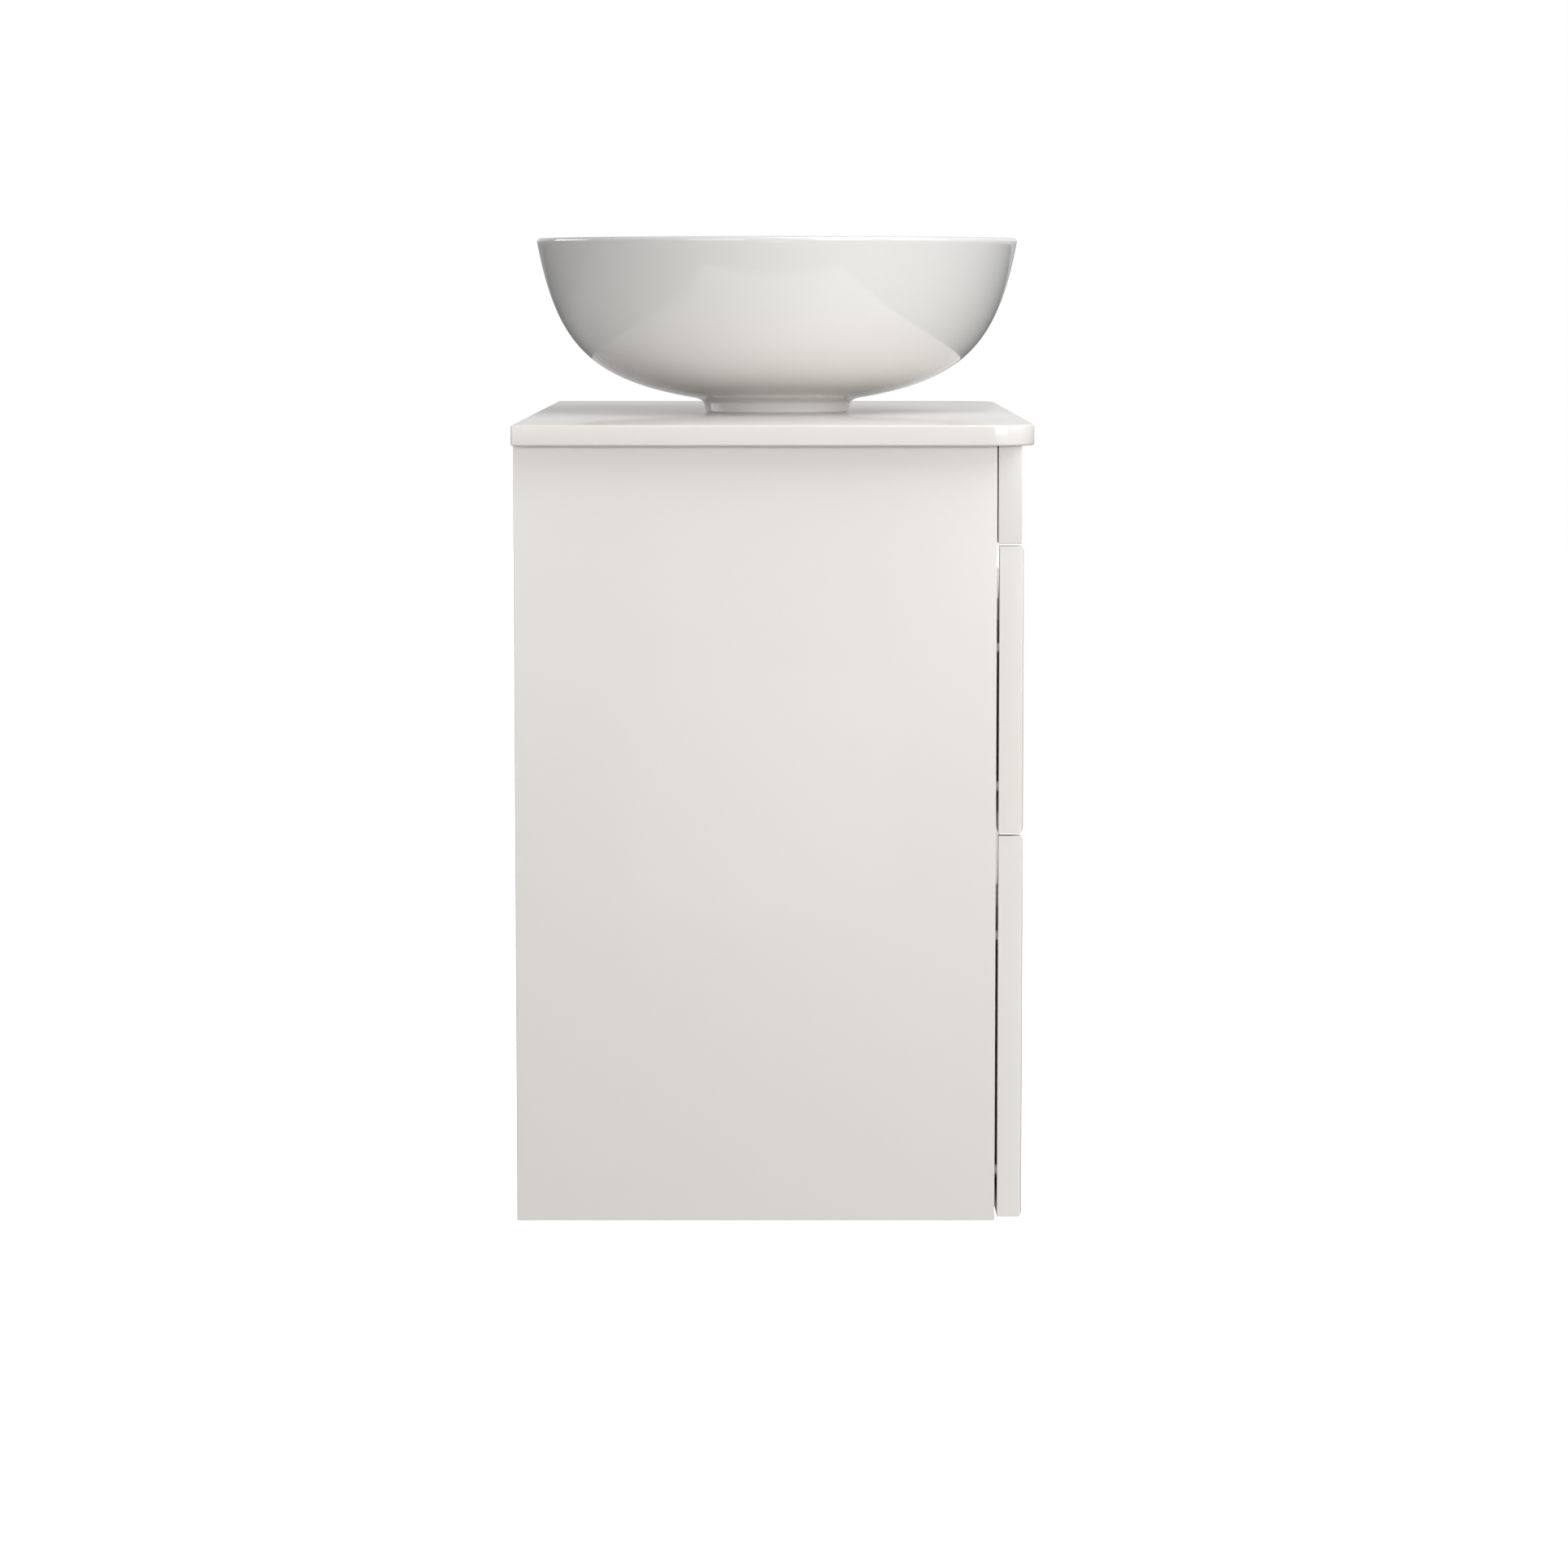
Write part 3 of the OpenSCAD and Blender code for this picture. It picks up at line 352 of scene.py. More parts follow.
# %% Glazed ceramic
GLAZE_TONES = (0.735, 0.730, 0.712, 1), (0.765, 0.760, 0.743, 1)
BARE_CLAY = (0.70, 0.64, 0.55, 1)
BARE_ROUGH = 0.8
BARE_H = 0.3 * MM
glaze, tree, shader = start("glazed_ceramic")
shader.inputs["Coat Roughness"].default_value = 0.02
marks = use(tree, handling, Size=7.0)
level = add(tree, "ShaderNodeSeparateXYZ", {0: place(tree)}).outputs["Z"]
bare = math_node(tree, "LESS_THAN", level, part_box("basin")[0][2] + BARE_H)
tone = mix_color(tree, marks["Cloud"], *GLAZE_TONES)
tone = mix_color(tree, bare, tone, BARE_CLAY)
gloss = spread(tree, marks["Cloud"], 0.07, 0.14)
rough = math_node(tree, "MAXIMUM", gloss, math_node(tree, "MULTIPLY", bare, BARE_ROUGH))
wave = add(tree, "ShaderNodeTexNoise", {"Vector": place(tree), "Scale": 55.0, "Detail": 1.0})
finish_surface(tree, shader, tone, rough, wave.outputs["Fac"], 0.02 * MM)
glossy = math_node(tree, "SUBTRACT", 1.0, bare)
tree.links.new(glossy, shader.inputs["Coat Weight"])
print("finish", glaze.name)

# %% [markdown]
# Inside, the boards are faced and edged with a satin melamine skin, which has a
# fine pressed texture and is duller than the lacquer. Corners are handled most, so
# the shared edge mask tints them a little. Faces that look up gather a thin film of
# dust. It is found from the surface's own normal, so it needs no painting.

# %% Faced board
SKIN_TONES = (0.76, 0.75, 0.73, 1), (0.80, 0.79, 0.77, 1)
SKIN_EDGE = (0.70, 0.68, 0.65, 1)
DUST = (0.66, 0.64, 0.60, 1)
DUST_MOST = 0.5
DUST_ROUGH = 0.3
board, tree, shader = start("white_board")
edges = use(tree, edge_wear_and_highlight, Radius=0.4 * MM, Strength=4.0)
marks = use(tree, handling, Size=6.0)
normal = add(tree, "ShaderNodeNewGeometry").outputs["Normal"]
facing_up = add(tree, "ShaderNodeSeparateXYZ", {0: normal}).outputs["Z"]
upward = math_node(tree, "MAXIMUM", facing_up, 0.0)
dust = math_node(tree, "MULTIPLY", upward, spread(tree, marks["Cloud"], 0.0, DUST_MOST))
skin = mix_color(tree, marks["Cloud"], *SKIN_TONES)
skin = mix_color(tree, edges["Edge"], skin, SKIN_EDGE)
tone = mix_color(tree, dust, skin, DUST)
satin = spread(tree, marks["Cloud"], 0.38, 0.5)
rough = math_node(tree, "ADD", satin, math_node(tree, "MULTIPLY", dust, DUST_ROUGH))
finish_surface(tree, shader, tone, rough, marks["Fine"], 0.03 * MM, edges["Normal"])
print("finish", board.name)

# %% [markdown]
# The plug, the flange and the pipes are chromed, and polished nearly to a mirror. A
# perfect mirror looks drawn, so faint water marks vary its tone and its gloss.

# %% Polished chrome
CHROME_TONES = (0.72, 0.735, 0.75, 1), (0.82, 0.83, 0.84, 1)
chrome, tree, shader = start("polished_chrome")
shader.inputs["Metallic"].default_value = 1.0
marks = use(tree, handling, Size=30.0)
tone = mix_color(tree, marks["Cloud"], *CHROME_TONES)
rough = spread(tree, marks["Cloud"], 0.04, 0.15)
finish_surface(tree, shader, tone, rough, marks["Fine"], 0.004 * MM)
print("finish", chrome.name)

# %% [markdown]
# Screws, hooks and brackets are steel with a thin coat of zinc, which is cloudy and
# slightly blue, and rubs bright on the edges.

# %% Zinc-plated steel
ZINC_TONES = (0.50, 0.53, 0.57, 1), (0.66, 0.66, 0.64, 1)
ZINC_EDGE = (0.78, 0.79, 0.80, 1)
zinc, tree, shader = start("zinc_steel")
shader.inputs["Metallic"].default_value = 1.0
edges = use(tree, edge_wear_and_highlight, Radius=0.3 * MM, Strength=4.0)
marks = use(tree, handling, Size=70.0)
tone = mix_color(tree, marks["Cloud"], *ZINC_TONES)
tone = mix_color(tree, edges["Edge"], tone, ZINC_EDGE)
rough = spread(tree, marks["Fine"], 0.26, 0.46)
finish_surface(tree, shader, tone, rough, marks["Fine"], 0.02 * MM, edges["Normal"])
print("finish", zinc.name)

# %% [markdown]
# The runners are folded from rolled strip. The lines of the grain group carry both
# their tone and their relief, and their edges are rubbed by the members that slide.

# %% Rolled runner steel
RUNNER_TONES = (0.40, 0.41, 0.43, 1), (0.60, 0.61, 0.62, 1)
RUNNER_EDGE = (0.75, 0.75, 0.75, 1)
runner, tree, shader = start("runner_steel")
shader.inputs["Metallic"].default_value = 1.0
edges = use(tree, edge_wear_and_highlight, Radius=0.4 * MM, Strength=4.0)
rolled = use(tree, grain, Size=900.0)
marks = use(tree, handling, Size=25.0)
tone = mix_color(tree, rolled["Lines"], *RUNNER_TONES)
tone = mix_color(tree, edges["Edge"], tone, RUNNER_EDGE)
rough = spread(tree, marks["Cloud"], 0.22, 0.42)
finish_surface(tree, shader, tone, rough, rolled["Lines"], 0.02 * MM, edges["Normal"])
print("finish", runner.name)

# %% [markdown]
# The last finishes differ only in their numbers: trap and hangers in satin plastic
# with a spark-eroded texture, black seals, beech dowels and soft clear bumpers. So
# one function holds their recipe: two tones, how rough they are, how big their marks
# are and how deep the relief is.

# %% Moulded, rubber and beech


def moulded(name, tones, roughness, marks_size, depth):
    made, tree, shader = start(name)
    edges = use(tree, edge_wear_and_highlight, Radius=0.5 * MM, Strength=4.0)
    marks = use(tree, handling, Size=marks_size)
    tone = mix_color(tree, marks["Cloud"], *tones)
    rough = spread(tree, marks["Fine"], *roughness)
    finish_surface(tree, shader, tone, rough, marks["Fine"], depth, edges["Normal"])
    print("finish", made.name)
    return made


PLASTIC_TONES = (0.80, 0.80, 0.775, 1), (0.86, 0.86, 0.845, 1)
RUBBER_TONES = (0.018, 0.018, 0.020, 1), (0.038, 0.038, 0.040, 1)
BUMPER_TONES = (0.70, 0.70, 0.68, 1), (0.78, 0.78, 0.77, 1)
BEECH_TONES = (0.52, 0.35, 0.19, 1), (0.68, 0.50, 0.31, 1)
plastic = moulded("white_plastic", PLASTIC_TONES, (0.32, 0.46), 22.0, 0.03 * MM)
# The black rubber also colours the screws' drive crosses, which are painted shade.
rubber = moulded("black_rubber", RUBBER_TONES, (0.6, 0.8), 40.0, 0.06 * MM)
bumper = moulded("clear_bumper", BUMPER_TONES, (0.22, 0.34), 60.0, 0.02 * MM)
beech = moulded("beech", BEECH_TONES, (0.5, 0.7), 120.0, 0.08 * MM)

# %% [markdown]
# Each CAD piece already names the finish it is made in. A list of pieces could be
# kept here too, but it would drift from that one, so the finishes are handed out
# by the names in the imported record.

# %% Finish the CAD pieces
FINISH = {
    "white_lacquer": lacquer, "glazed_ceramic": glaze, "white_board": board,
    "polished_chrome": chrome, "zinc_steel": zinc, "runner_steel": runner,
    "white_plastic": plastic, "black_rubber": rubber, "clear_bumper": bumper, "beech": beech}
for part in frame["record"]["subparts"]:
    for surface in NODES[part["node"]].material_slots:
        surface.material = FINISH[part["material_slot"]]

# %% [markdown]
# Some pieces are made again below. Each becomes a plain mesh at the origin that
# rides on its body, hides the CAD pieces it replaces, and takes its finish. A
# modifier's result is baked on a throwaway object, so that no modifier is left live.

# %% Piece helpers


def finished(name, mesh, body, finish, *nodes):
    """Puts a mesh in the scene as a piece of a body, in place of the CAD nodes named."""
    piece = bpy.data.objects.new(name, mesh)
    scene.collection.objects.link(piece)
    mesh.materials.clear()
    mesh.materials.append(FINISH[finish])
    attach(piece, body)
    if nodes:
        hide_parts(*nodes)
    print(name, len(mesh.polygons), "faces")


def apply_modifiers(mesh, set_up):
    """Runs set_up on a throwaway object and returns the plain mesh it makes."""
    probe = bpy.data.objects.new("probe", mesh)
    scene.collection.objects.link(probe)
    set_up(probe)
    graph = bpy.context.evaluated_depsgraph_get()
    made = bpy.data.meshes.new_from_object(probe.evaluated_get(graph))
    bpy.data.objects.remove(probe)
    return made


def smooth_sides(mesh, degrees):
    """Shades a mesh smooth, but keeps an edge sharp where its faces turn further."""
    mesh.shade_smooth()
    mesh.set_sharp_from_angle(angle=math.radians(degrees))


def arc(cx, cy, r, first, last, steps):
    """Points of an arc from one angle to another, in degrees."""
    turns = [math.radians(first + (last - first) * i / steps) for i in range(steps + 1)]
    return [(cx + r * math.cos(t), cy + r * math.sin(t)) for t in turns]


print("helpers:", finished.__name__, apply_modifiers.__name__, smooth_sides.__name__, arc.__name__)

# %% [markdown]
# The lacquered boards are made again, because their small rounded edges catch the
# light and have to be real geometry. A scaled cube would round its edges unevenly.
# Each board is drawn as an outline and given its thickness instead, and a bevel that
# reads a weight per edge rounds each edge by its own amount.

# %% Board helper
BEVEL_MOST = 5 * MM
BEVEL_SEGMENTS = 5
BEVEL_FROM_DEGREES = 30
BOARD_SHARP = 32


def prism(name, outline, lift, edge_mm):
    """Solid from a closed outline: lift maps (u, v, 0 or 1) to a point, and
    edge_mm(a, b) gives the rounding of the edge between two points, in mm."""
    build = bmesh.new()
    ends = [[build.verts.new(lift(u, v, k)) for u, v in outline] for k in (0, 1)]
    count = len(outline)
    build.faces.new(ends[0][::-1])
    build.faces.new(ends[1])
    for i in range(count):
        j = (i + 1) % count
        build.faces.new((ends[0][i], ends[0][j], ends[1][j], ends[1][i]))
    bmesh.ops.recalc_face_normals(build, faces=build.faces)
    weights = build.edges.layers.float.new("bevel_weight_edge")
    for line in build.edges:
        if line.calc_face_angle(0) > math.radians(BEVEL_FROM_DEGREES):
            line[weights] = edge_mm(line.verts[0].co, line.verts[1].co) * MM / BEVEL_MOST
    sharp = bpy.data.meshes.new(name)
    build.to_mesh(sharp)
    build.free()

    def set_up(probe):
        rounding = probe.modifiers.new("rounding", "BEVEL")
        rounding.limit_method = "WEIGHT"
        rounding.width, rounding.segments = BEVEL_MOST, BEVEL_SEGMENTS
    made = apply_modifiers(sharp, set_up)
    smooth_sides(made, BOARD_SHARP)
    return made


print("helper:", prism.__name__)

# %% [markdown]
# The top, the side panels and the fascia are flat boards that lie or stand in the
# frame. Their outlines are drawn from above, each inside its CAD piece's own box, so
# they fit with nothing measured twice. Only the top has round front corners.

# %% Top, side panels and fascia
TOP_CORNER = 35 * MM
TOP_CORNER_STEPS = 20
TOP_EDGE_MM = 1.5
PANEL_EDGE_MM = 0.7


def rectangle(low, high):
    return [(low[0], low[1]), (high[0], low[1]), (high[0], high[1]), (low[0], high[1])]


def flat_board(node, outline, edge_mm):
    low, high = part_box(node)
    mesh = prism(node + "_finish", outline, lambda u, v, k: (u, v, high[2] if k else low[2]),
                 lambda a, b: edge_mm)
    finished(node + "_finish", mesh, "cabinet", "white_lacquer", node)


low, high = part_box("countertop")
centre_y = low[1] + TOP_CORNER
corners = (arc(low[0] + TOP_CORNER, centre_y, TOP_CORNER, 180, 270, TOP_CORNER_STEPS)
           + arc(high[0] - TOP_CORNER, centre_y, TOP_CORNER, 270, 360, TOP_CORNER_STEPS)
           + [(high[0], high[1]), (low[0], high[1])])
flat_board("countertop", corners, TOP_EDGE_MM)
for node in ("side_panel_left", "side_panel_right", "fascia"):
    flat_board(node, rectangle(*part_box(node)), PANEL_EDGE_MM)

# %% [markdown]
# A drawer front has a wide rounding round its face and a grip notch in its upper
# edge. The notch could be cut with a boolean, but that leaves ragged edges to round.
# It is part of the outline instead. Its own edges are only broken, so they get a
# small weight, and the outer edges of the face get a large one.

# %% Drawer fronts
FACE_EDGE_MM = 5.0
NOTCH_EDGE_MM = 1.0
NOTCH_DEPTH = 42 * MM
CHEEK = 12 * MM
NOTCH_CORNER = 20 * MM
NOTCH_STEPS = 10
TINY = 1e-5


def drawer_front(node, body):
    low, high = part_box(node)
    left, right = low[0] + CHEEK, high[0] - CHEEK
    centre_z = high[2] - NOTCH_DEPTH + NOTCH_CORNER
    outline = ([(low[0], low[2]), (high[0], low[2]), (high[0], high[2]), (right, high[2])]
               + arc(right - NOTCH_CORNER, centre_z, NOTCH_CORNER, 0, -90, NOTCH_STEPS)
               + arc(left + NOTCH_CORNER, centre_z, NOTCH_CORNER, 270, 180, NOTCH_STEPS)
               + [(left, high[2]), (low[0], high[2])])

    def edge_mm(a, b):
        on_face = abs(a.y - low[1]) < TINY and abs(b.y - low[1]) < TINY
        outer = any(abs(a[i] - side) < TINY and abs(b[i] - side) < TINY
                    for i, side in ((0, low[0]), (0, high[0]), (2, low[2]), (2, high[2])))
        if not on_face:
            return 0.0
        return FACE_EDGE_MM if outer else NOTCH_EDGE_MM
    mesh = prism(node + "_finish", outline,
                 lambda u, v, k: (u, high[1] if k else low[1], v), edge_mm)
    finished(node + "_finish", mesh, body, "white_lacquer", node)


drawer_front("upper_front", "upper_drawer")
drawer_front("lower_front", "lower_drawer")

# %% [markdown]
# The basin and the plug are turned shapes. A Screw modifier could spin them, but
# then the seam and the poles have to be merged afterwards. This helper builds the
# rings itself, closes the seam as it goes, and lets a ring on the axis be one point.

# %% Turning helper
ON_AXIS = 1e-7
TURNED_SHARP = 35


def turned(name, section, centre, turns, closed=False):
    """Spins a list of (radius, height) points round the vertical axis at centre."""
    build = bmesh.new()
    rings = []
    for r, z in section:
        if r < ON_AXIS:
            rings.append([build.verts.new((centre[0], centre[1], z))])
            continue
        rings.append([build.verts.new((centre[0] + r * math.cos(math.tau * k / turns),
                                       centre[1] + r * math.sin(math.tau * k / turns), z))
                      for k in range(turns)])
    pairs = list(zip(rings, rings[1:])) + ([(rings[-1], rings[0])] if closed else [])
    for one, other in pairs:
        for k in range(turns):
            n = (k + 1) % turns
            around = [one[k % len(one)], one[n % len(one)],
                      other[n % len(other)], other[k % len(other)]]
            build.faces.new(list(dict.fromkeys(around)))
    bmesh.ops.recalc_face_normals(build, faces=build.faces)
    made = bpy.data.meshes.new(name)
    build.to_mesh(made)
    build.free()
    smooth_sides(made, TURNED_SHARP)
    return made


print("helper:", turned.__name__)

# %% [markdown]
# A cast bowl has walls of ever-changing curve, which arcs can't follow. Each wall
# is one cubic curve from foot to rim, and a short square curve fills the corner
# where the glaze gathers between the bowl and its foot.

# %% Curve helpers


def bowl_curve(a, b, low, high, steps):
    """Points of a cubic curve whose middle controls lie at shares of the box a to b."""
    span = (b[0] - a[0], b[1] - a[1])
    p = (a[0] + low[0] * span[0], a[1] + low[1] * span[1])
    q = (a[0] + high[0] * span[0], a[1] + high[1] * span[1])
    points = []
    for i in range(steps + 1):
        t = i / steps
        share = ((1 - t) ** 3, 3 * (1 - t) ** 2 * t, 3 * (1 - t) * t * t, t ** 3)
        points.append(tuple(sum(s * c[k] for s, c in zip(share, (a, p, q, b))) for k in (0, 1)))
    return points


def bend(a, corner, b, steps):
    """Points of the short curve that rounds a corner between a and b."""
    points = []
    for i in range(steps + 1):
        t = i / steps
        points.append(tuple((1 - t) ** 2 * a[k] + 2 * t * (1 - t) * corner[k] + t * t * b[k]
                            for k in (0, 1)))
    return points


print("helpers:", bowl_curve.__name__, bend.__name__)

# %% [markdown]
# The basin is a half section spun round its axis. Its two walls have the same
# control shares as the CAD model's, with many more points on them, so that
# reflections run smoothly across the glaze. The foot, the seat of the waste's flange
# and the hole for its tube have the CAD model's own sizes.

# %% Basin section
RIM_R = 3 * MM
FOOT_R = 62.5 * MM
FOOT_H = 11 * MM
FOOT_LOW_R = 59.5 * MM
FOOT_INNER_R = 51.5 * MM
FOOT_RECESS = 7 * MM
FOOT_TAPER = 2 * MM
# The broken edge that the foot stands on
FOOT_EDGE_OUT = 0.6 * MM
FOOT_EDGE_RISE = 1.2 * MM
FOOT_EDGE_IN = 0.8 * MM
FLOOR_H = 21 * MM
FLOOR_FLAT = 2 * MM
SEAT_R = 31.8 * MM
SEAT_H = 18.5 * MM
HOLE_R = 23.1 * MM
OUTER_SHARES = (0.711, 0.11), (0.889, 0.38)
INNER_SHARES = (0.76, 0.03), (0.915, 0.34)
WALL_STEPS = 70
RIM_STEPS = 12
# The glaze's fillet runs from this point of the foot to this step of the outer wall
FILLET_ON_FOOT = (61.6 * MM, 7.2 * MM)
FILLET_ON_WALL = 2
FILLET_STEPS = 8

low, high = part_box("basin")
basin_axis = ((low[0] + high[0]) / 2, (low[1] + high[1]) / 2)
rim_out, rise = (high[0] - low[0]) / 2, high[2] - low[2]
outer = bowl_curve((FOOT_R, FOOT_H), (rim_out, rise - RIM_R), *OUTER_SHARES, WALL_STEPS)
foot_fillet = bend(FILLET_ON_FOOT, (FOOT_R, FOOT_H), outer[FILLET_ON_WALL], FILLET_STEPS)
inner = bowl_curve((SEAT_R + FLOOR_FLAT, FLOOR_H), (rim_out - 2 * RIM_R, rise - RIM_R),
                   *INNER_SHARES, WALL_STEPS)
rim = arc(rim_out - RIM_R, rise - RIM_R, RIM_R, 180, 0, RIM_STEPS)[1:-1]
foot_edge = [(FOOT_LOW_R + FOOT_EDGE_OUT, FOOT_EDGE_RISE), (FOOT_LOW_R - FOOT_EDGE_IN, 0.0)]
underside = [(FOOT_INNER_R, 0.0), (FOOT_INNER_R - FOOT_TAPER, FOOT_RECESS), (HOLE_R, FOOT_RECESS)]
seat = [(HOLE_R, SEAT_H), (SEAT_R, SEAT_H), (SEAT_R, FLOOR_H)]
basin_section = (inner + rim + outer[:FILLET_ON_WALL:-1] + foot_fillet[::-1]
                 + foot_edge + underside + seat)
print("basin section", len(basin_section), "points")

# %% Basin
BASIN_TURNS = 200
section = [(r, low[2] + z) for r, z in basin_section]
mesh = turned("basin_finish", section, basin_axis, BASIN_TURNS, closed=True)
finished("basin_finish", mesh, "cabinet", "glazed_ceramic", "basin")

# %% [markdown]
# The plug is the one polished thing in the bowl, and a polished dome shows every
# flat. It is turned again with a long smooth crown and a small rolled edge, on the
# axis and between the heights of the CAD piece.

# %% Waste plug
CAP_H = 6 * MM
CROWN_DROP = 3 * MM
CROWN_INSET = 0.6 * MM
CROWN_SHARES = (0.45, 0.0), (0.9, 0.55)
CROWN_STEPS = 24
EDGE_ROLL_R = 1.6 * MM
EDGE_ROLL_FROM = 50
EDGE_ROLL_TO = -90
EDGE_ROLL_STEPS = 10
STEM_R = 4 * MM
STEM_TIP = 0.4 * MM
PLUG_TURNS = 96

low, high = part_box("waste_plug")
plug_r = (high[0] - low[0]) / 2
cap_low = high[2] - CAP_H
crown = bowl_curve((0.0, high[2]), (plug_r - CROWN_INSET, high[2] - CROWN_DROP),
                   *CROWN_SHARES, CROWN_STEPS)
edge_roll = arc(plug_r - EDGE_ROLL_R, cap_low + EDGE_ROLL_R, EDGE_ROLL_R,
                EDGE_ROLL_FROM, EDGE_ROLL_TO, EDGE_ROLL_STEPS)[1:]
stem = [(STEM_R, cap_low), (STEM_R, low[2] + STEM_TIP), (STEM_R - STEM_TIP, low[2]),
        (0.0, low[2])]
mesh = turned("waste_plug_finish", crown + edge_roll + stem, basin_axis, PLUG_TURNS)
finished("waste_plug_finish", mesh, "drain_plug", "polished_chrome", "waste_plug")

# %% [markdown]
# Every screw head has a cross-shaped drive. It could be cut into each head, but the
# CAD screws are never changed, so a thin dark cross is laid on each head instead: it
# is painted shade, standing for the shadowed hollow of the drive. The heads are found
# from the CAD screws themselves: each loose island is one screw, its long side is its
# axis, and its wider end is its head. The set screws of the hangers have no head and
# are driven from the front, so where both ends are as wide, the one towards the user
# counts.

# %% Find the heads
AXES = (Vector((1, 0, 0)), Vector((0, 1, 0)), Vector((0, 0, 1)))
SAME_POINT = 1e-6


def islands(node):
    """The corner points of each separate solid in a node, in order of lowest corner."""
    merged = bmesh.new()
    merged.from_mesh(NODES[node].data)
    bmesh.ops.remove_doubles(merged, verts=merged.verts, dist=SAME_POINT)
    seen, groups = set(), []
    for first in merged.verts:
        if first in seen:
            continue
        seen.add(first)
        waiting, group = [first], []
        while waiting:
            vert = waiting.pop()
            group.append(vert.co.copy())
            for line in vert.link_edges:
                other = line.other_vert(vert)
                if other not in seen:
                    seen.add(other)
                    waiting.append(other)
        groups.append(group)
    merged.free()
    return sorted(groups, key=lambda group: min(tuple(round(v, 5) for v in c) for c in group))


def heads(node):
    """Centre, outward direction and radius of each head in a node of screws."""
    found = []
    for group in islands(node):
        low = [min(c[i] for c in group) for i in range(3)]
        high = [max(c[i] for c in group) for i in range(3)]
        long = max(range(3), key=lambda i: high[i] - low[i])
        middle = Vector([(a + b) / 2 for a, b in zip(low, high)])
        ends = []
        for value, sign in ((low[long], -1), (high[long], 1)):
            ring = [c for c in group if abs(c[long] - value) < TINY]
            centre = middle.copy()
            centre[long] = value
            ends.append((max((c - centre).length for c in ring), sign, centre))
        head_r, sign, centre = max(ends, key=lambda end: round(end[0], 5))
        found.append((centre, AXES[long] * sign, head_r))
    return found


print("upper_screws heads", len(heads("upper_screws")))

# %% [markdown]
# There are dozens of screws, and their crosses differ only in place and direction.
# Copying objects by hand would fill the scene, so Geometry Nodes puts one small
# cross of two bars on each head's point and turns it to face the way the head does.

# %% Drive tree
drive_tree = bpy.data.node_groups.new("screw_drive_shade", "GeometryNodeTree")
DRIVE_TAKES = (("Geometry", "NodeSocketGeometry"), ("Length", "NodeSocketFloat"),
               ("Width", "NodeSocketFloat"), ("Height", "NodeSocketFloat"),
               ("Material", "NodeSocketMaterial"))


def named_inputs(tree, takes):
    """Gives a tree its inputs and returns the identifier of each by its name."""
    return {label: tree.interface.new_socket(label, in_out="INPUT", socket_type=kind).identifier
            for label, kind in takes}


DRIVE_SOCKET = named_inputs(drive_tree, DRIVE_TAKES)
drive_tree.interface.new_socket("Geometry", in_out="OUTPUT", socket_type="NodeSocketGeometry")
given = drive_tree.nodes.new("NodeGroupInput").outputs
bar_sizes = [add(drive_tree, "ShaderNodeCombineXYZ", {
    0: given[across], 1: given[along], 2: given["Height"]}).outputs[0]
    for across, along in (("Length", "Width"), ("Width", "Length"))]
bars = [add(drive_tree, "GeometryNodeMeshCube", {"Size": bar}).outputs["Mesh"] for bar in bar_sizes]
cross = drive_tree.nodes.new("GeometryNodeJoinGeometry")
for bar in bars:
    drive_tree.links.new(bar, cross.inputs[0])
facing = add(drive_tree, "GeometryNodeInputNamedAttribute", {"Name": "facing"},
             data_type="FLOAT_VECTOR")
turned_to = add(drive_tree, "FunctionNodeAlignEulerToVector",
                {"Vector": facing.outputs[0]}, axis="Z")
copies = add(drive_tree, "GeometryNodeInstanceOnPoints", {
    "Points": given["Geometry"], "Instance": cross.outputs[0], "Rotation": turned_to.outputs[0]})
real = add(drive_tree, "GeometryNodeRealizeInstances", {0: copies.outputs[0]})
dressed = add(drive_tree, "GeometryNodeSetMaterial",
              {"Geometry": real.outputs[0], "Material": given["Material"]})
drive_end = drive_tree.nodes.new("NodeGroupOutput")
drive_tree.links.new(dressed.outputs[0], drive_end.inputs["Geometry"])
print("tree", drive_tree.name, "takes", list(DRIVE_SOCKET))

# %% [markdown]
# The tree is run once for each body that carries screws. A loose point stands for
# each head, with the head's direction stored on it. The cross is sized as a share of
# the smallest head's radius, so it never hangs over an edge.

# %% Screw drives, in painted shade
DRIVE_SPAN = 1.1
DRIVE_WIDTH = 0.24
DRIVE_RISE = 0.1 * MM


def run_tree(mesh, tree, sockets, values):
    """Runs a tree with its inputs given by name, and returns the plain mesh it makes."""
    def set_up(probe):
        worker = probe.modifiers.new(tree.name, "NODES")
        worker.node_group = tree
        for label, value in values.items():
            worker[sockets[label]] = value
    return apply_modifiers(mesh, set_up)


def drives(name, body, *nodes):
    found = [head for node in nodes for head in heads(node)]
    points = bpy.data.meshes.new(name)
    points.from_pydata([tuple(centre) for centre, way, head_r in found], [], [])
    ways = points.attributes.new("facing", "FLOAT_VECTOR", "POINT")
    for k, (centre, way, head_r) in enumerate(found):
        ways.data[k].vector = way
    least = min(head_r for centre, way, head_r in found)
    # The crosses are black rubber: painted shade for the hollow of each drive.
    made = run_tree(points, drive_tree, DRIVE_SOCKET, {
        "Length": least * DRIVE_SPAN, "Width": least * DRIVE_WIDTH, "Height": DRIVE_RISE,
        "Material": rubber})
    made.name = name
    finished(name, made, body, "black_rubber")


drives("upper_drive_shade", "upper_drawer", "upper_screws")
drives("lower_drive_shade", "lower_drawer", "lower_screws")
drives("cabinet_drive_shade", "cabinet", "rail_screws", "carcass_screws", "hanger_screws")

# %% [markdown]
# The trap's nuts and cup are tightened by hand, so they carry grip ribs. An array
# modifier could repeat them, but it needs a helper object for its turn. Geometry
# Nodes puts a rod on every point of a circle and turns the ring to suit its nut.

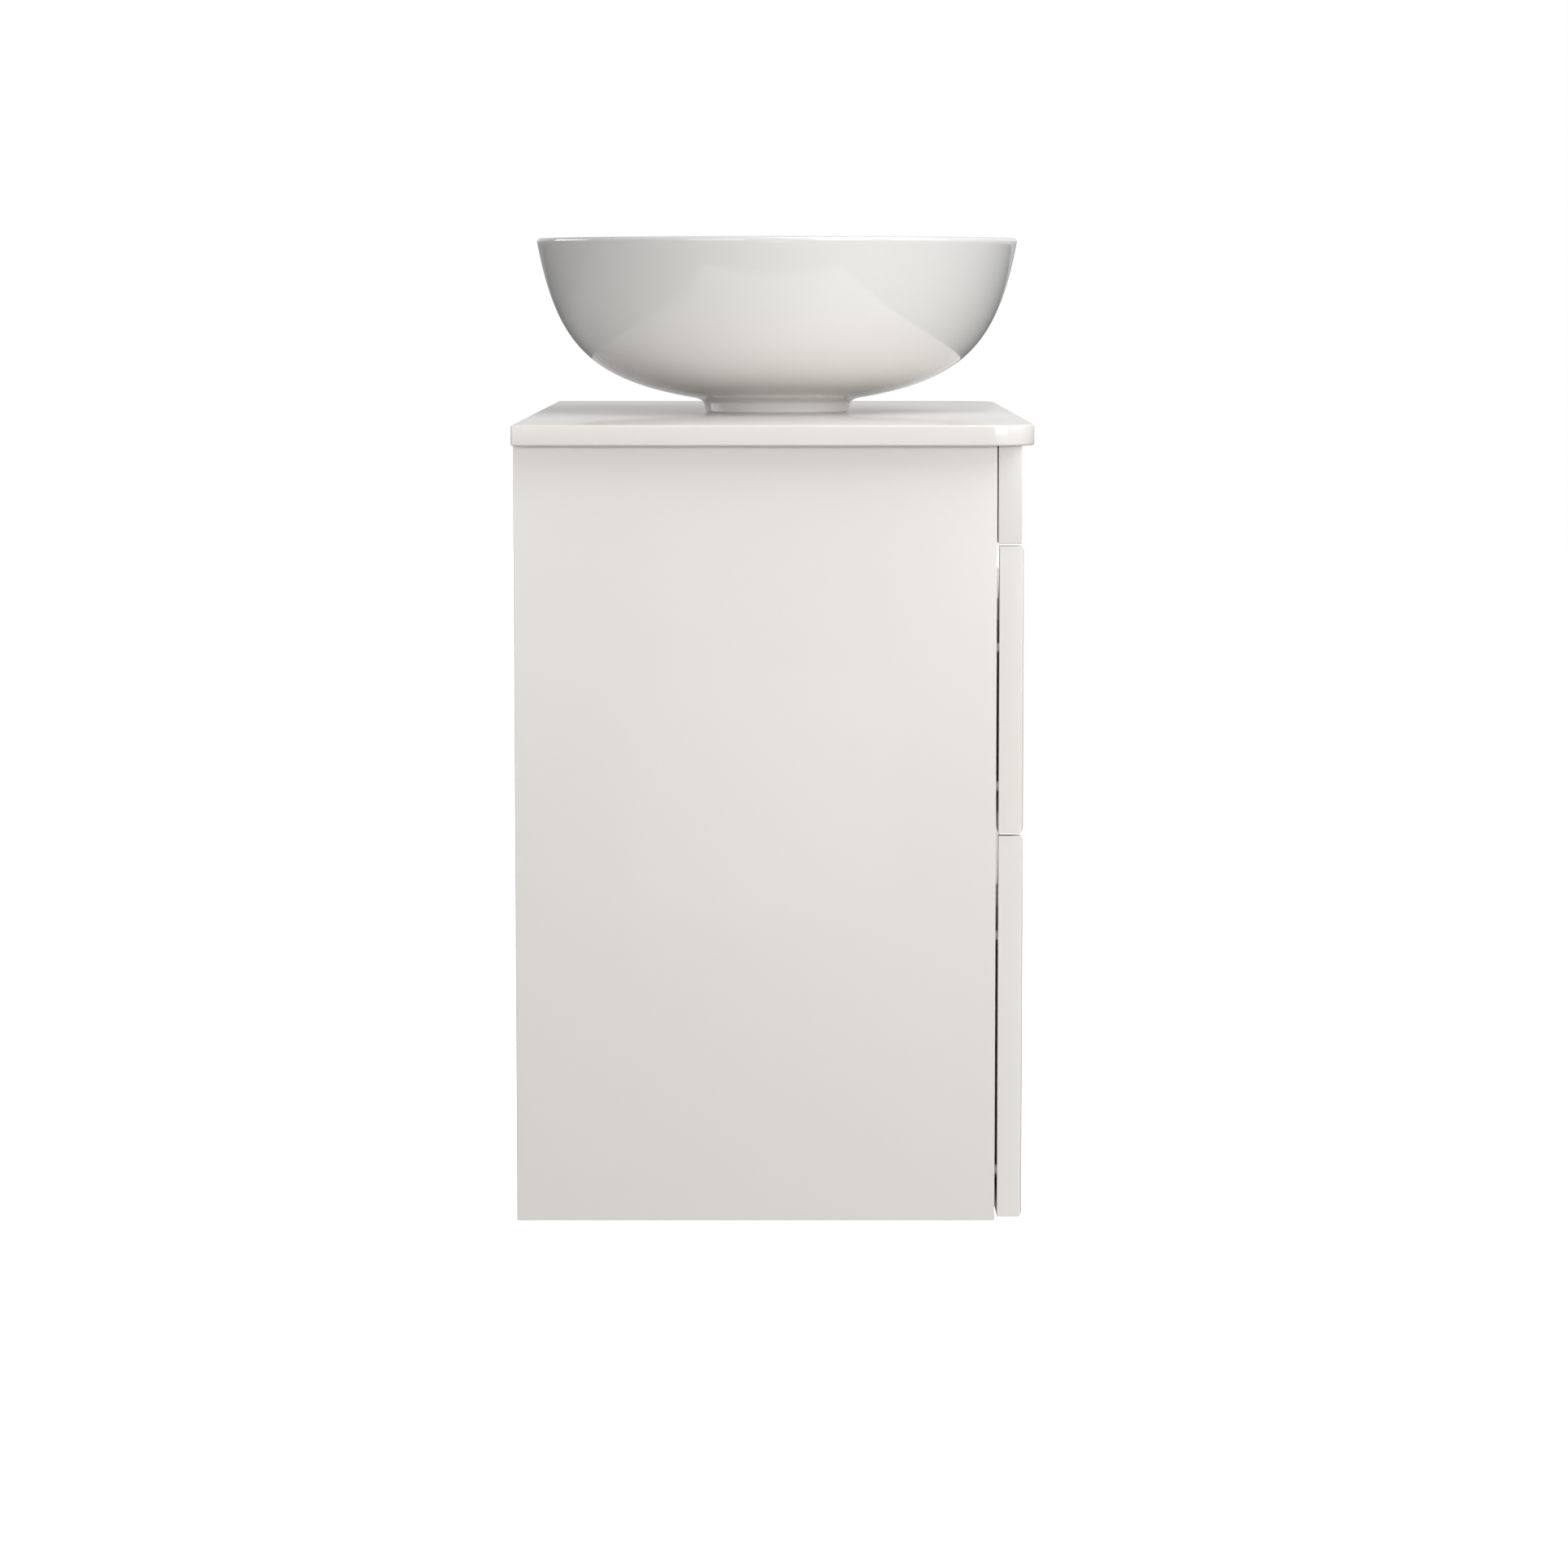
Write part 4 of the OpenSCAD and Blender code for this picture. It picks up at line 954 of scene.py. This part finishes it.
# %% Rib tree
ROD_SIDES = 8
rib_tree = bpy.data.node_groups.new("grip_ribs", "GeometryNodeTree")
RIB_TAKES = (("Count", "NodeSocketInt"), ("Ring", "NodeSocketFloat"),
             ("Rib", "NodeSocketFloat"), ("Length", "NodeSocketFloat"),
             ("Turn", "NodeSocketVector"), ("Place", "NodeSocketVector"),
             ("Material", "NodeSocketMaterial"))
RIB_SOCKET = named_inputs(rib_tree, RIB_TAKES)
rib_tree.interface.new_socket("Geometry", in_out="OUTPUT", socket_type="NodeSocketGeometry")
given = rib_tree.nodes.new("NodeGroupInput").outputs
ring_line = add(rib_tree, "GeometryNodeMeshCircle",
                {"Vertices": given["Count"], "Radius": given["Ring"]})
rod = add(rib_tree, "GeometryNodeMeshCylinder",
          {"Vertices": ROD_SIDES, "Radius": given["Rib"], "Depth": given["Length"]})
rods = add(rib_tree, "GeometryNodeInstanceOnPoints",
           {"Points": ring_line.outputs[0], "Instance": rod.outputs["Mesh"]})
moved = add(rib_tree, "GeometryNodeTransform", {
    "Geometry": rods.outputs[0], "Translation": given["Place"], "Rotation": given["Turn"]})
real = add(rib_tree, "GeometryNodeRealizeInstances", {0: moved.outputs[0]})
dressed = add(rib_tree, "GeometryNodeSetMaterial",
              {"Geometry": real.outputs[0], "Material": given["Material"]})
rib_end = rib_tree.nodes.new("NodeGroupOutput")
rib_tree.links.new(dressed.outputs[0], rib_end.inputs["Geometry"])
print("tree", rib_tree.name, "takes", list(RIB_SOCKET))

# %% [markdown]
# Each ring of ribs takes its radius, length and middle from its nut's own box. The
# rods are sunk a little into the nut, so that no gap shows, and stop short of its
# ends. The outlet nut lies on its side, so its ring is turned to the wall.

# %% Grip ribs
NUT_RIBS = 24
CUP_RIBS = 36
RIB_R = 1.1 * MM
RIB_SUNK = 0.2 * MM
RIB_SHORTER = 3 * MM
RIB_SHARP = 50


def ribs(node, count, along_wall=False):
    low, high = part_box(node)
    centre = [(a + b) / 2 for a, b in zip(low, high)]
    length = (high[1] - low[1] if along_wall else high[2] - low[2]) - RIB_SHORTER
    made = run_tree(bpy.data.meshes.new(node + "_ribs"), rib_tree, RIB_SOCKET, {
        "Count": count, "Ring": (high[0] - low[0]) / 2 - RIB_SUNK, "Rib": RIB_R,
        "Length": length, "Turn": (math.pi / 2 if along_wall else 0, 0, 0),
        "Place": centre, "Material": plastic})
    made.name = node + "_ribs"
    smooth_sides(made, RIB_SHARP)
    finished(node + "_ribs", made, "cabinet", "white_plastic")


ribs("trap_inlet_nut", NUT_RIBS)
ribs("trap_top_nut", NUT_RIBS)
ribs("trap_outlet_nut", NUT_RIBS, along_wall=True)
ribs("trap_cup", CUP_RIBS)

# %% [markdown]
# The ground is a plain sheet below the vanity, which hangs clear of it. A white sheet
# would light the bowl and the panels from below, so the sheet itself is mid grey, and
# it glows white only where the camera looks at it, to meet the white backdrop.

# %% Ground
GROUND_DROP = 0.25
GROUND_REACH = 14.0
GROUND_TONES = (0.34, 0.34, 0.335, 1), (0.38, 0.38, 0.375, 1)
build = bmesh.new()
bmesh.ops.create_grid(build, x_segments=1, y_segments=1, size=GROUND_REACH)
for vert in build.verts:
    vert.co.z = -GROUND_DROP
ground_mesh = bpy.data.meshes.new("ground")
build.to_mesh(ground_mesh)
build.free()
ground = bpy.data.objects.new("ground", ground_mesh)
scene.collection.objects.link(ground)
paper, tree, shader = start("ground_paper")
marks = use(tree, handling, Size=2.0)
tone = mix_color(tree, marks["Cloud"], *GROUND_TONES)
rough = spread(tree, marks["Fine"], 0.85, 0.95)
finish_surface(tree, shader, tone, rough, marks["Fine"], 0.05 * MM)
shader.inputs["Emission Color"].default_value = WHITE
looked_at = add(tree, "ShaderNodeLightPath").outputs["Is Camera Ray"]
tree.links.new(looked_at, shader.inputs["Emission Strength"])
ground_mesh.materials.append(paper)
print("ground at", -GROUND_DROP)
